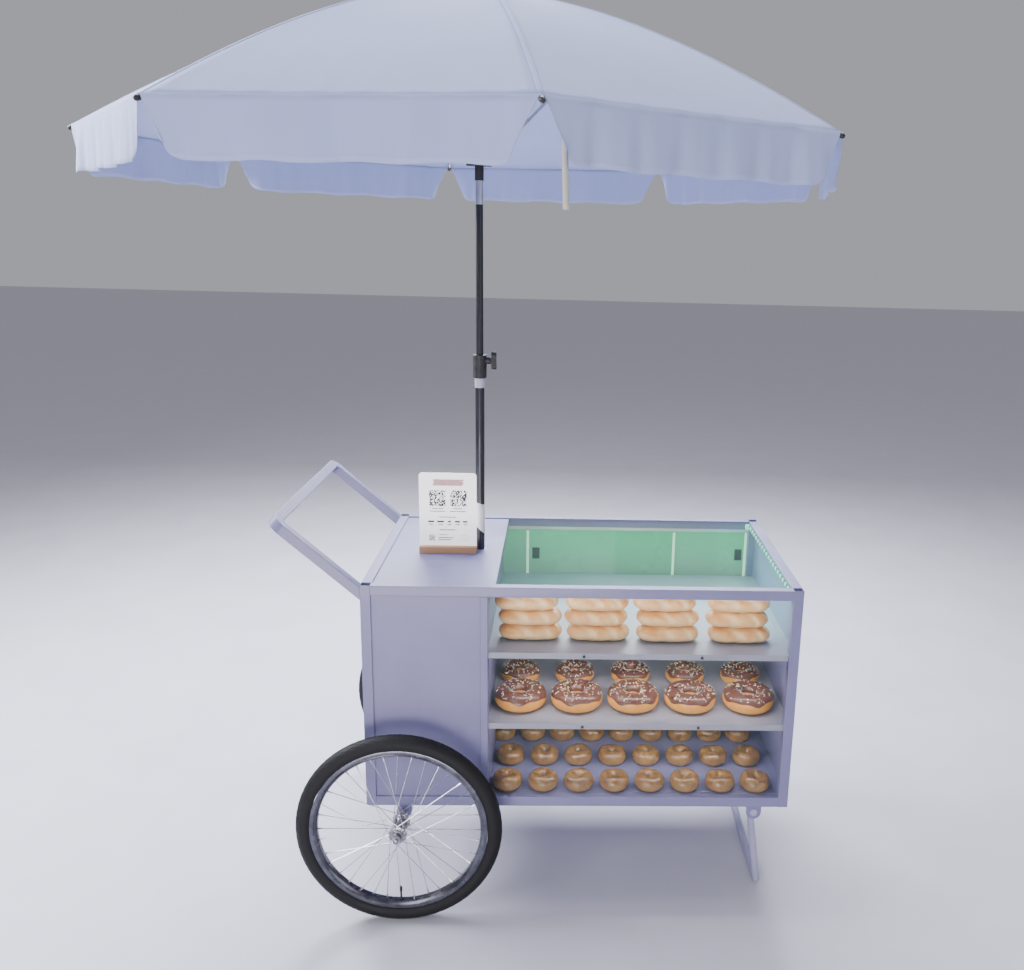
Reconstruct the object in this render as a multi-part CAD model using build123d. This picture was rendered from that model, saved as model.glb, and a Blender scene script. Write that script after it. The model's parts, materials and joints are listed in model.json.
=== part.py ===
from build123d import *
import math
import os

# Push vending cart: a square-tube box with a glazed display on two spoked wheels, and an
# eight-rib market umbrella.  Millimetres, +Z up.  The origin is on the ground under the
# umbrella pole, +X runs towards the display end and +Y towards the vendor's side.

# ---- Driving dimensions -------------------------------------------------------------

# Box
box_length = 1270.0
box_depth = 750.0
box_top = 1020.0
box_bottom = 325.0
pole_from_left_end = 310.0      # umbrella pole's axis, from the box's left end
tube = 30.0                     # outside of the square frame tube
tube_wall = 1.5
tube_round = 2.0                # outer corner radius of the tube
mid_post_width = 22.0
storage_length = 340.0          # closed compartment, from the left end to the middle post
deck_past_partition = 20.0      # deck's overhang past the partition, over the display
deck_recess = 4.0               # deck surface below the frame's top face
deck_sheet = 2.0
panel_sheet = 1.5
panel_recess = 6.0              # panels and glass behind the frame's outer face

# Display
glass = 4.0
shelf_thickness = 18.0
upper_shelf_top = 817.0
lower_shelf_top = 593.0
shelf_back_gap = 6.0            # shelf's back edge, in front of the back posts
left_door_length = 533.0
right_door_length = 480.0
door_sheet = 4.0
door_groove_gap = 0.5           # each side of a door in its groove
track_rib = 7.0                 # rib between the two grooves of a track
track_wall = 2.0
top_track_height = 12.0
bottom_track_height = 6.0
fixed_sheet_length = 83.0       # narrow fixed sheet beside the left door
led_width = 9.0
led_thickness = 3.0
led_inset = 12.0                # led strip's centre below the frame's top face

# Handle
handle_reach = 232.0            # handle bar's axis, out from the box's left end
handle_slope = 41.0             # degrees above level
handle_root_drop = 24.0         # arm's axis at the post, below the frame's top face
handle_bend = 26.0              # bend radius of the tube's axis at the two corners

# Wheels
wheel_diameter = 600.0
wheel_from_left_end = 110.0
wheel_outside_box = 80.0        # wheel's middle plane, out from the box's long face
tyre_width = 49.0
tyre_wall = 4.5
rim_depth = 22.0
rim_width = 34.0
bead_width = 7.4
spoke_count = 36
spoke_radius = 1.3
spoke_gap = 0.1                 # between two spokes where they cross
spoke_swing = 62.0              # degrees between a spoke's two ends
hub_length = 100.0
hub_barrel_radius = 15.0
flange_radius = 26.0
flange_spacing = 66.0
flange_thickness = 4.0
axle_radius = 8.0
axle_middle_radius = 11.0
axle_running_fit = 0.05
axle_nut_width = 24.0
axle_nut_height = 11.0

# Hangers and prop stand
hanger_sheet = 6.0
hanger_edge = 12.0              # metal left round the hanger's bore
stand_from_right_end = 100.0
stand_lean = 8.0                # degrees, foot further out than the pivot
stand_leg_radius = 11.0
stand_leg_spacing = 560.0

# Umbrella pole
lower_pole_radius = 14.0
lower_pole_top = 1600.0
upper_pole_radius = 11.0
upper_pole_overlap = 350.0      # length of upper pole inside the lower one
pole_wall = 1.5
pole_fit = 0.05                 # radial, pole in socket and pole in clamp
socket_depth = 300.0
socket_wall = 3.0
socket_flange_radius = 42.0
clamp_height = 70.0
clamp_wall = 7.0
clamp_boss_radius = 11.0
clamp_boss_reach = 34.0
knob_stem_radius = 4.0
knob_length = 54.0
knob_width = 20.0
knob_thickness = 15.0
knob_gap = 1.5

# Canopy
rib_count = 8
rib_turn = -34.0                # degrees, first rib from +X
rib_tip_radius = 1080.0
canopy_rim_z = 2245.0
canopy_rise = 400.0
canopy_power = 1.6              # shape of the dome from crown to rim
fabric = 1.5
fabric_gap = 0.8                # between fabric and rib, and between two gores
dome_spans = 16                 # stretches between the points that shape the dome's curve
valance_drop = 126.0
valance_corner = 35.0
valance_side_gap = 3.0
valance_slant = 50.0            # how far each end leans in, from the rim to the lower edge
rib_height = 8.0
rib_width = 6.0
rib_cap_radius = 5.0
hinge_pin_radius = 1.5
hinge_fit = 0.05
hinge_side_gap = 0.4
rib_hinge_radius = 30.0
rib_hinge_z = 2624.0
crown_radius = 38.0
crown_height = 33.0
crown_cap = 9.0
runner_hinge_z = 2200.0
runner_ring_height = 30.0
runner_sleeve_radius = 13.0
runner_sleeve_bottom = 2144.0
stretcher_at = 380.0            # where the stretcher meets its rib, from the pole's axis
stretcher_height = 8.0
stretcher_sheet = 2.5
stretcher_root = 55.0           # solid root of the stretcher's fork
stretcher_drop = 2.5            # stretcher's end below the middle of its rib

# Sign on the deck
sign_width = 178.0
sign_height = 256.0
sign_board = 4.0
sign_base_height = 22.0
sign_base_depth = 40.0
sign_front = 62.0               # base's front face, in front of the pole's axis
sign_right_edge = 8.0           # base's right end, left of the pole's axis

# ---- Places worked out from the sizes -----------------------------------------------

x_left = -pole_from_left_end
x_right = x_left + box_length
y_front = -box_depth / 2
y_back = box_depth / 2
inner_left = x_left + tube
inner_right = x_right - tube
inner_front = y_front + tube
inner_back = y_back - tube
rail_top = box_bottom + tube            # top of the bottom rails
rail_under = box_top - tube             # underside of the top rails
mid_post_left = x_left + storage_length
mid_post_right = mid_post_left + mid_post_width
deck_right = mid_post_right + deck_past_partition
deck_top = box_top - deck_recess
deck_under = deck_top - deck_sheet
end_panel_right = x_right - panel_recess - panel_sheet
wheel_radius = wheel_diameter / 2
wheel_x = x_left + wheel_from_left_end
wheel_y = box_depth / 2 + wheel_outside_box
stand_x = x_right - stand_from_right_end
stand_drop = wheel_radius - stand_leg_radius
bead_radius = wheel_radius - tyre_width / 2 - math.sqrt(
    (tyre_width / 2) ** 2 - (rim_width / 2) ** 2)
rim_inner_radius = bead_radius - rim_depth
half_gore = math.pi / rib_count
rib_angles = [rib_turn + 360.0 * k / rib_count for k in range(rib_count)]
gore_angles = [a + 180.0 / rib_count for a in rib_angles]


def block(x, y, z):
    """A box between three (low, high) spans."""
    spans = (x, y, z)
    centre = Pos(*[(low + high) / 2 for low, high in spans])
    return centre * Box(*[high - low for low, high in spans])


def tube_run(start, end, width=tube, height=tube):
    """A hollow rectangular tube between two points; width and height are its section."""
    along = Vector(*end) - Vector(*start)
    upright = abs(along.normalized().Z) > 0.5
    across = Vector(1, 0, 0) if upright else Vector(0, 0, 1).cross(along).normalized()
    plane = Plane(origin=start, x_dir=across, z_dir=along)
    outer = RectangleRounded(width, height, tube_round)
    inner = Rectangle(width - 2 * tube_wall, height - 2 * tube_wall)
    return extrude(plane * (outer - inner), amount=along.length)


def save(name, *shapes):
    """One STEP file for each node."""
    solids = [solid for shape in shapes for solid in shape.solids()]
    whole = solids[0] if len(solids) == 1 else Compound(solids)
    export_step(whole, os.path.join("parts", name + ".step"))


# ---- Frame and sheet metal ----------------------------------------------------------

def frame_posts():
    """Four corner posts and the two middle posts beside the display."""
    half = tube / 2
    corners = [
        tube_run((x, y, box_bottom), (x, y, box_top))
        for x in (x_left + half, x_right - half)
        for y in (y_front + half, y_back - half)
    ]
    mid_x = (mid_post_left + mid_post_right) / 2
    middles = [
        tube_run((mid_x, y, rail_top), (mid_x, y, rail_under), width=mid_post_width)
        for y in (y_front + half, y_back - half)
    ]
    return corners + middles


def frame_rails():
    """Long rails, end rails, and the two cross bearers under the deck's edge."""
    half = tube / 2
    rails = []
    for z in (box_bottom + half, box_top - half):
        for y in (y_front + half, y_back - half):
            rails.append(tube_run((inner_left, y, z), (inner_right, y, z)))
        for x in (x_left + half, x_right - half):
            rails.append(tube_run((x, inner_front, z), (x, inner_back, z)))
    bearer_x = max(deck_right - half, socket_flange_radius + half)
    top_z = deck_under - half
    rails.append(tube_run((bearer_x, inner_front, top_z), (bearer_x, inner_back, top_z)))
    low_height = tube - panel_sheet
    low_z = box_bottom + low_height / 2
    rails.append(tube_run(
        (bearer_x, inner_front, low_z), (bearer_x, inner_back, low_z), height=low_height))
    return rails


def top_deck():
    """Recessed deck over the closed compartment, with the hole for the pole's socket."""
    plate = block((inner_left, deck_right), (inner_front, inner_back), (deck_under, deck_top))
    hole = Pos(0, 0, deck_under) * Cylinder(socket_outer_radius + pole_fit, 4 * deck_sheet)
    return plate - hole


def sheet_panels():
    """Front, back and end panels, the floor and the partition."""
    height = (rail_top, rail_under)
    across = (inner_front, inner_back)
    front_face = y_front + panel_recess
    back_face = y_back - panel_recess
    left_face = x_left + panel_recess
    store = (inner_left, mid_post_left)
    return [
        block(store, (front_face, front_face + panel_sheet), height),
        block(store, (back_face - panel_sheet, back_face), height),
        block((left_face, left_face + panel_sheet), across, height),
        block((end_panel_right, end_panel_right + panel_sheet), across, height),
        block((inner_left, inner_right), across, (rail_top - panel_sheet, rail_top)),
        block((mid_post_right - panel_sheet, mid_post_right), across,
              (rail_top, deck_under - tube)),
    ]


def handle():
    """Push handle: one square tube bent twice, welded to the posts at the left end."""
    slope = math.radians(handle_slope)
    arm = handle_reach / math.cos(slope)
    half_span = box_depth / 2 - tube / 2
    root = Vector(x_left, 0, box_top - handle_root_drop)
    tilted = Plane(origin=root, x_dir=(0, 1, 0), z_dir=(math.sin(slope), 0, math.cos(slope)))
    corners = [(-half_span, -tube), (-half_span, arm), (half_span, arm), (half_span, -tube)]
    path = tilted * FilletPolyline(*corners, radius=handle_bend)
    start = Plane(origin=path @ 0, x_dir=(0, 1, 0), z_dir=path % 0)
    outer = sweep(start * RectangleRounded(tube, tube, tube_round), path=path)
    inner = sweep(start * Rectangle(tube - 2 * tube_wall, tube - 2 * tube_wall), path=path)
    past_post = block((x_left, x_left + 4 * tube), (2 * y_front, 2 * y_back),
                      (box_bottom, 2 * box_top))
    return outer - inner - past_post


# ---- Display ------------------------------------------------------------------------

def glass_panes():
    """Fixed front pane and fixed top pane of the display."""
    face = y_front + panel_recess
    front = block((mid_post_right, inner_right), (face, face + glass), (rail_top, rail_under))
    top = block((deck_right, inner_right), (inner_front, inner_back),
                (deck_top - glass, deck_top))
    return front, top


def shelves():
    """Two shelf boards, notched round the corner posts."""
    glass_back = y_front + panel_recess + glass
    back = inner_back - shelf_back_gap
    boards = []
    for top in (upper_shelf_top, lower_shelf_top):
        span = (top - shelf_thickness, top)
        main = block((mid_post_right, end_panel_right), (inner_front, back), span)
        front = block((mid_post_right, inner_right), (glass_back, inner_front), span)
        boards.append(main + front)
    return boards


def groove_y(index):
    """Front and back face of a track's groove, 0 for the one nearest the goods."""
    pitch = groove_width + track_rib
    front = track_front + track_wall + index * pitch
    return front, front + groove_width


def door_tracks():
    """Grooved tracks under the top rail and on the bottom rail at the back."""
    length = (mid_post_right, inner_right)
    tracks = []
    for low, high, floor_low in (
        (rail_top, rail_top + bottom_track_height, rail_top + track_wall),
        (rail_under - top_track_height, rail_under, None),
    ):
        bar = block(length, (track_front, track_back), (low, high))
        for index in (0, 1):
            if floor_low is None:
                groove = (low, high - track_wall)
            else:
                groove = (floor_low, high)
            bar -= block(length, groove_y(index), groove)
        tracks.append(bar)
    return tracks


def sliding_door(left, length, index):
    """One sheet door standing in the grooves of both tracks."""
    front, back = groove_y(index)
    height = (rail_top + track_wall + door_groove_gap,
              rail_under - track_wall - 4 * door_groove_gap)
    return block((left, left + length),
                 (front + door_groove_gap, back - door_groove_gap), height)


def fixed_sheet():
    """Narrow sheet that stays put in the back grooves, between the post and the left door."""
    return block((mid_post_right, mid_post_right + fixed_sheet_length), groove_y(1),
                 (rail_top + track_wall, rail_under - track_wall))


def led_strip():
    """Light strip on the inner face of the right end's top rail."""
    centre = box_top - led_inset - glass
    return block((inner_right - led_thickness, inner_right),
                 (inner_front + led_width, inner_back - led_width),
                 (centre - led_width / 2, centre + led_width / 2))


# ---- Wheels, axle and stand ---------------------------------------------------------

def tyre():
    """Hollow tyre, open at the bead, about the Z axis at the origin."""
    centre = Pos(wheel_radius - tyre_width / 2, 0)
    section = centre * Circle(tyre_width / 2) - centre * Circle(tyre_width / 2 - tyre_wall)
    section -= Rectangle(2 * bead_radius, 2 * tyre_width)
    return revolve(Plane.XZ * section, axis=Axis.Z)


def rim():
    """Channel rim that holds the tyre's beads on its two edges."""
    edge = rim_width / 2
    well = edge - bead_width
    base = rim_inner_radius
    outline = [
        (bead_radius, edge), (base + rim_depth / 2, edge), (base, edge / 2),
        (base, -edge / 2), (base + rim_depth / 2, -edge), (bead_radius, -edge),
        (bead_radius, -well), (base + rim_depth / 4, -well),
        (base + rim_depth / 4, well), (bead_radius, well),
    ]
    section = make_face(Polyline(*outline, close=True))
    return revolve(Plane.XZ * section, axis=Axis.Z)


def spokes():
    """Crossed spokes of one wheel, from the hub's flanges to the rim's inner face."""
    bars = []
    for k in range(spoke_count):
        side = 1 if k % 2 == 0 else -1
        lead = 1 if k // 2 % 2 == 0 else -1
        at_rim = math.radians(360.0 * k / spoke_count)
        at_hub = at_rim + lead * math.radians(spoke_swing)
        layer = lead * (spoke_radius + spoke_gap / 2)
        inner = flange_radius - 2 * spoke_radius
        outer = rim_inner_radius - spoke_radius / 10
        start = Vector(inner * math.cos(at_hub), inner * math.sin(at_hub),
                       side * (flange_spacing / 2 + layer))
        end = Vector(outer * math.cos(at_rim), outer * math.sin(at_rim),
                     side * (rim_width / 8 + layer))
        run = end - start
        bars.append(Solid.make_cylinder(spoke_radius, run.length,
                                        Plane(origin=start, z_dir=run)))
    return Compound(bars)


def hub():
    """Hub barrel with two flanges, cut where the spokes' ends sit in them."""
    shape = Cylinder(hub_barrel_radius, flange_spacing)
    shape += Cylinder(axle_middle_radius, hub_length)
    for side in (-1, 1):
        shape += Pos(0, 0, side * flange_spacing / 2) * Cylinder(
            flange_radius, flange_thickness)
    shape = shape - spokes().solids()
    return shape - Cylinder(axle_radius + axle_running_fit, 2 * hub_length)


def axle():
    """Fixed axle: thick middle held by the hangers, turned ends for the hubs, end nuts."""
    hub_inner = wheel_y - hub_length / 2 - knob_gap
    hub_outer = wheel_y + hub_length / 2 + knob_gap
    tip = hub_outer + axle_nut_height + axle_radius / 2
    shape = Cylinder(axle_middle_radius, 2 * hub_inner) + Cylinder(axle_radius, 2 * tip)
    nut = extrude(RegularPolygon(axle_nut_width / 2, 6), axle_nut_height)
    shape += Pos(0, 0, hub_outer) * nut
    shape += Pos(0, 0, -hub_outer - axle_nut_height) * nut
    return Pos(wheel_x, 0, wheel_radius) * Rot(90, 0, 0) * shape


def hangers():
    """Four alike plates under the long rails: two carry the axle, two the stand."""
    edge = axle_middle_radius + hanger_edge
    plates = []
    for x in (wheel_x, stand_x):
        for side in (-1, 1):
            y = side * (box_depth / 2 - tube / 2)
            thick = (y - hanger_sheet / 2, y + hanger_sheet / 2)
            plate = block((x - edge, x + edge), thick, (wheel_radius, box_bottom))
            across = Pos(x, y, wheel_radius) * Rot(90, 0, 0)
            plate += across * Cylinder(edge, hanger_sheet)
            plate -= block((x - 2 * edge, x + 2 * edge), (y - edge, y + edge),
                           (box_bottom, box_bottom + 2 * edge))
            plate -= across * Cylinder(axle_middle_radius + axle_running_fit, 3 * hanger_sheet)
            plates.append(plate)
    return plates


def prop_stand():
    """U-shaped stand that turns in its hangers and stands on its foot bar."""
    reach = box_depth / 2 - tube / 2 + hanger_sheet
    lean = math.radians(stand_lean)
    foot = Vector(stand_drop * math.tan(lean), 0, -stand_drop)
    half = stand_leg_spacing / 2
    shape = Rot(90, 0, 0) * Cylinder(axle_middle_radius, 2 * reach)
    for side in (-1, 1):
        top = Vector(0, side * half, 0)
        shape += Solid.make_cylinder(stand_leg_radius, foot.length,
                                     Plane(origin=top, z_dir=foot))
        end = top + foot
        shape += Pos(end.X, end.Y, end.Z) * Sphere(stand_leg_radius)
    shape += Pos(foot.X, 0, foot.Z) * Rot(90, 0, 0) * Cylinder(stand_leg_radius, 2 * half)
    return Pos(stand_x, 0, wheel_radius) * shape


# ---- Pole ---------------------------------------------------------------------------

def pole_socket():
    """Closed sleeve below the deck that the lower pole stands in."""
    bottom = deck_top - socket_depth
    sleeve = Cylinder(socket_outer_radius, socket_depth, align=ON_BASE)
    flange = Pos(0, 0, socket_depth - deck_sheet - socket_wall) * Cylinder(
        socket_flange_radius, socket_wall, align=ON_BASE)
    bore = Pos(0, 0, socket_wall) * Cylinder(
        lower_pole_radius + pole_fit, socket_depth, align=ON_BASE)
    return Pos(0, 0, bottom) * (sleeve + flange - bore)


def pole_tube(radius, low, high):
    """A round pole with an open bore between two heights."""
    ring = Circle(radius) - Circle(radius - pole_wall)
    return Pos(0, 0, low) * extrude(ring, high - low)


def height_clamp():
    """Clamp on top of the lower pole, with a boss for the knob's screw."""
    low = lower_pole_top - clamp_height / 2
    body = Cylinder(lower_pole_radius + clamp_wall, clamp_height, align=ON_BASE)
    body = fillet(body.edges().filter_by(GeomType.CIRCLE), clamp_wall / 4)
    boss = Pos(0, 0, knob_height - low) * Rot(0, 90, 0) * Cylinder(
        clamp_boss_radius, clamp_boss_reach, align=ON_BASE)
    body += boss
    body -= Cylinder(lower_pole_radius + pole_fit, clamp_height / 2, align=ON_BASE)
    body -= Cylinder(upper_pole_radius + pole_fit, clamp_height, align=ON_BASE)
    body -= Pos(0, 0, knob_height - low) * Rot(0, 90, 0) * Cylinder(
        knob_stem_radius + pole_fit, 2 * clamp_boss_reach, align=ON_BASE)
    return Pos(0, 0, low) * body


def height_knob():
    """Wing knob with two finger loops, and its screw."""
    stem_start = upper_pole_radius + hinge_side_gap
    grip_start = clamp_boss_reach + knob_gap
    outline = SlotOverall(knob_length, knob_width)
    for side in (-1, 1):
        outline -= Pos(side * (knob_length - knob_width) / 2, 0) * Circle(knob_width / 4)
    grip = extrude(outline, knob_thickness)
    grip = Pos(grip_start, 0, 0) * Rot(0, 90, 0) * grip
    stem = Pos(stem_start, 0, 0) * Rot(0, 90, 0) * Cylinder(
        knob_stem_radius, grip_start - stem_start + knob_thickness / 2, align=ON_BASE)
    return Pos(0, 0, knob_height) * (grip + stem)


# ---- Canopy -------------------------------------------------------------------------

def dome(radius):
    """Height of the fabric's underside along a rib, at a radius from the pole."""
    return canopy_rim_z + canopy_rise * (1 - (radius / rib_tip_radius) ** canopy_power)


def dome_curve(first, last, lift=0.0, squeeze=1.0):
    """The dome's curve between two radii, raised by lift and drawn in by squeeze."""
    step = (last - first) / dome_spans
    radii = [first + k * step for k in range(dome_spans + 1)]
    return Spline(*[(r * squeeze, dome(r) + lift) for r in radii])


def hinge_slots(width, low, high):
    """Cuts for the hinges round a hub, one for each rib."""
    slot = block((rib_hinge_radius - rib_cap_radius - hinge_side_gap, 2 * crown_radius),
                 (-width / 2, width / 2), (low, high))
    return [Rot(0, 0, angle) * slot for angle in rib_angles]


def hinge_pins(width, height):
    """Pins across the slots of a hub."""
    pin = Pos(rib_hinge_radius, 0, height) * Rot(90, 0, 0) * Cylinder(hinge_pin_radius, width)
    return [Rot(0, 0, angle) * pin for angle in rib_angles]


def crown():
    """Hub at the top of the pole: slots below a closed cap, with a pin for each rib."""
    low = rib_hinge_z - crown_height / 2
    high = low + crown_height
    body = Pos(0, 0, low) * Cylinder(crown_radius, crown_height, align=ON_BASE)
    body = body - hinge_slots(rib_width + 2 * hinge_side_gap, low - 1, high - crown_cap)
    body = body + hinge_pins(rib_width + 4 * hinge_side_gap, rib_hinge_z)
    bore = Pos(0, 0, low - 1) * Cylinder(
        upper_pole_radius, crown_height - crown_cap / 2, align=ON_BASE)
    return body - bore


def runner():
    """Sliding hub: sleeve on the pole and a slotted ring with a pin for each stretcher."""
    low = runner_hinge_z - runner_ring_height / 2
    high = low + runner_ring_height
    ring = Pos(0, 0, low) * Cylinder(crown_radius, runner_ring_height, align=ON_BASE)
    ring = ring - hinge_slots(stretcher_width + 2 * hinge_side_gap, low - 1, high + 1)
    ring = ring + hinge_pins(stretcher_width + 4 * hinge_side_gap, runner_hinge_z)
    ring += Pos(0, 0, runner_sleeve_bottom) * Cylinder(
        runner_sleeve_radius, high - runner_sleeve_bottom, align=ON_BASE)
    bore = Pos(0, 0, runner_sleeve_bottom - 1) * Cylinder(
        upper_pole_radius + 2 * pole_fit, high - runner_sleeve_bottom + 2, align=ON_BASE)
    return ring - bore


def rib():
    """Curved flat rib with an eye at the crown and a cap at the tip, along +X."""
    half = rib_height / 2
    first = 3 * rib_hinge_radius
    top = dome_curve(first, rib_tip_radius, -fabric_gap)
    low = dome_curve(first, rib_tip_radius, -fabric_gap - rib_height)
    root_top = (rib_hinge_radius, rib_hinge_z + half)
    root_low = (rib_hinge_radius, rib_hinge_z - half)
    outline = make_face([
        Line(root_top, top @ 0), top, Line(top @ 1, low @ 1), low,
        Line(low @ 0, root_low), Line(root_low, root_top)])
    eye = Pos(rib_hinge_radius, rib_hinge_z)
    outline = outline + eye * Circle(rib_cap_radius)
    outline -= eye * Circle(hinge_pin_radius + hinge_fit)
    bar = extrude(Plane.XZ * outline, rib_width / 2, both=True)
    cap = Pos(rib_tip_radius + rib_cap_radius * 0.8, 0,
              canopy_rim_z - fabric_gap - half) * Sphere(rib_cap_radius)
    return bar + cap


def stretcher():
    """Fork from the runner's pin to both sides of its rib, along +X."""
    rib_middle = dome(stretcher_at) - fabric_gap - rib_height / 2
    rise = rib_middle - stretcher_drop - runner_hinge_z
    run = stretcher_at - rib_hinge_radius
    length = math.hypot(run, rise)
    half = stretcher_height / 2
    bar = Pos(length / 2, 0) * SlotOverall(length + stretcher_height, stretcher_height)
    bar -= Circle(hinge_pin_radius + hinge_fit)
    blade = extrude(Plane.XZ * bar, stretcher_width / 2, both=True)
    gap = stretcher_width / 2 - stretcher_sheet
    blade -= block((stretcher_root, length + 2 * half), (-gap, gap), (-2 * half, 2 * half))
    lift = -math.degrees(math.atan2(rise, run))
    return Pos(rib_hinge_radius, 0, runner_hinge_z) * Rot(0, lift, 0) * blade


def gore():
    """Fabric between two ribs: the dome's curve carried straight across, along +X."""
    squeeze = math.cos(half_gore)
    inner = rib_hinge_radius / 3
    low = dome_curve(inner, rib_tip_radius, squeeze=squeeze)
    top = dome_curve(inner, rib_tip_radius, fabric, squeeze)
    outline = make_face([low, top, Line(low @ 0, top @ 0), Line(low @ 1, top @ 1)])
    strip = extrude(Plane.XZ * outline, rib_tip_radius, both=True)
    spread = math.tan(half_gore)
    far = rib_tip_radius
    wedge = make_face(Polyline(
        (inner / 2, inner / 2 * spread - fabric_gap), (far, far * spread - fabric_gap),
        (far, fabric_gap - far * spread), (inner / 2, fabric_gap - inner / 2 * spread),
        close=True))
    return strip & extrude(wedge, canopy_rim_z + 2 * canopy_rise)


def valance():
    """Hanging flap along one gore's straight rim, with rounded lower corners."""
    rim = rib_tip_radius * math.cos(half_gore)
    half_width = rim * math.tan(half_gore) - valance_side_gap
    high = -fabric_gap
    low_half = half_width - valance_slant
    flap = make_face(Polyline((-half_width, high), (half_width, high),
                              (low_half, high - valance_drop), (-low_half, high - valance_drop),
                              close=True))
    lower = flap.vertices().group_by(Axis.Y)[0]
    flap = fillet(lower, valance_corner)
    plane = Plane(origin=(rim + fabric, 0, canopy_rim_z), x_dir=(0, 1, 0), z_dir=(1, 0, 0))
    return extrude(plane * flap, fabric)


def sign():
    """Upright card in a low wooden base, standing on the deck in front of the pole."""
    span = (-sign_right_edge - sign_width, -sign_right_edge)
    base = block(span, (-sign_front, sign_base_depth - sign_front),
                 (deck_top, deck_top + sign_base_height))
    card_y = sign_base_depth / 2 - sign_front
    card = block(span, (card_y, card_y + sign_board),
                 (deck_top + sign_base_height, deck_top + sign_height))
    return base, card


# ---- Values shared by several pieces -------------------------------------------------

ON_BASE = (Align.CENTER, Align.CENTER, Align.MIN)
socket_outer_radius = lower_pole_radius + pole_fit + socket_wall
groove_width = door_sheet + 2 * door_groove_gap
track_depth = 2 * groove_width + track_rib + 2 * track_wall
track_back = y_back - 4 * door_groove_gap
track_front = track_back - track_depth
knob_height = lower_pole_top + clamp_height / 4
stretcher_width = rib_width + 2 * hinge_side_gap + 2 * stretcher_sheet

os.makedirs("parts", exist_ok=True)

save("welded_frame", *frame_posts(), *frame_rails(), *hangers())
save("sheet_panels", *sheet_panels(), top_deck())
save("handle", handle())

save("glass_panes", *glass_panes())
save("shelves", *shelves())
save("door_tracks", *door_tracks())
save("fixed_sheet", fixed_sheet())
save("door_left", sliding_door(mid_post_right + fixed_sheet_length, left_door_length, 0))
save("door_right", sliding_door(inner_right - door_groove_gap - right_door_length,
                                right_door_length, 1))
save("led_strip", led_strip())

save("axle", axle())
save("prop_stand", prop_stand())
wheel_parts = {"tyre": tyre(), "rim": rim(), "spokes": spokes(), "hub": hub()}
for side, y in (("front", -wheel_y), ("back", wheel_y)):
    place = Pos(wheel_x, y, wheel_radius) * Rot(90, 0, 0)
    for part_name, shape in wheel_parts.items():
        save(part_name + "_" + side, place * shape)

save("pole_socket", pole_socket())
save("lower_pole", pole_tube(lower_pole_radius, deck_top - socket_depth + socket_wall,
                             lower_pole_top))
save("upper_pole", pole_tube(upper_pole_radius, lower_pole_top - upper_pole_overlap,
                             rib_hinge_z + crown_height / 2 - crown_cap - hinge_side_gap))
save("height_clamp", height_clamp())
save("height_knob", height_knob())

save("crown", crown())
save("runner", runner())
one_rib, one_stretcher, one_gore, one_valance = rib(), stretcher(), gore(), valance()
for k in range(rib_count):
    save("rib_" + str(k + 1), Rot(0, 0, rib_angles[k]) * one_rib)
    save("stretcher_" + str(k + 1), Rot(0, 0, rib_angles[k]) * one_stretcher)
    save("canopy_gore_" + str(k + 1), Rot(0, 0, gore_angles[k]) * one_gore)
    save("valance_" + str(k + 1), Rot(0, 0, gore_angles[k]) * one_valance)

save("sign", *sign())
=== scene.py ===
import json
import math
import random

import bmesh
import bpy
from mathutils import Matrix, Vector


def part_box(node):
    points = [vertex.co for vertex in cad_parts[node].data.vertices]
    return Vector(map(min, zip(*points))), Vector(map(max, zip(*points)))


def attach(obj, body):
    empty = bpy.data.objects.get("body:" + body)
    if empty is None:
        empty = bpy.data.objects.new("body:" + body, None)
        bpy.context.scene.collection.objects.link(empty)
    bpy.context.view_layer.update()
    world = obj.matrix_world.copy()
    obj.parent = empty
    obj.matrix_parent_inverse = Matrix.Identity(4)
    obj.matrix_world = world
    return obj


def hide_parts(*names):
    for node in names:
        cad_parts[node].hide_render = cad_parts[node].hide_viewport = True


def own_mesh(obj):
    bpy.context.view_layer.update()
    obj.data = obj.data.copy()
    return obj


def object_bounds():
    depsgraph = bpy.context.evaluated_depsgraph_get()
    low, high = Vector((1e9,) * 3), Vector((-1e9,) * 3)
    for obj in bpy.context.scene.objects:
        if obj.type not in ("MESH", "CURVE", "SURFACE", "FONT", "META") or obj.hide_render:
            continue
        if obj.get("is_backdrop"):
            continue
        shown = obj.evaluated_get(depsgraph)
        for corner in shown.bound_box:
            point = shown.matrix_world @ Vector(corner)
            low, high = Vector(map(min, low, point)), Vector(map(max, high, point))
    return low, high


# Push vending cart: finishes, the sewn canopy, the wheels, the goods and the studio.

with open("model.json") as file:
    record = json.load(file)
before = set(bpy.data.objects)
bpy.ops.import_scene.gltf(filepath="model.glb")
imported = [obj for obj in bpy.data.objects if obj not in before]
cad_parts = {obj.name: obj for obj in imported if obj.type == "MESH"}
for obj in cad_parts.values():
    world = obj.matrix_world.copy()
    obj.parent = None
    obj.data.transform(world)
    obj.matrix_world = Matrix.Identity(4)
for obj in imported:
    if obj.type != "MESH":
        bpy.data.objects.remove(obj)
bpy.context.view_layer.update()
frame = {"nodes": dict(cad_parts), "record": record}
scene = bpy.context.scene
nodes = frame["nodes"]

RIBS = 8
RIB_TURN = -34.0
HALF_GORE = math.pi / RIBS


# ---- Shader tools -------------------------------------------------------------------

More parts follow.
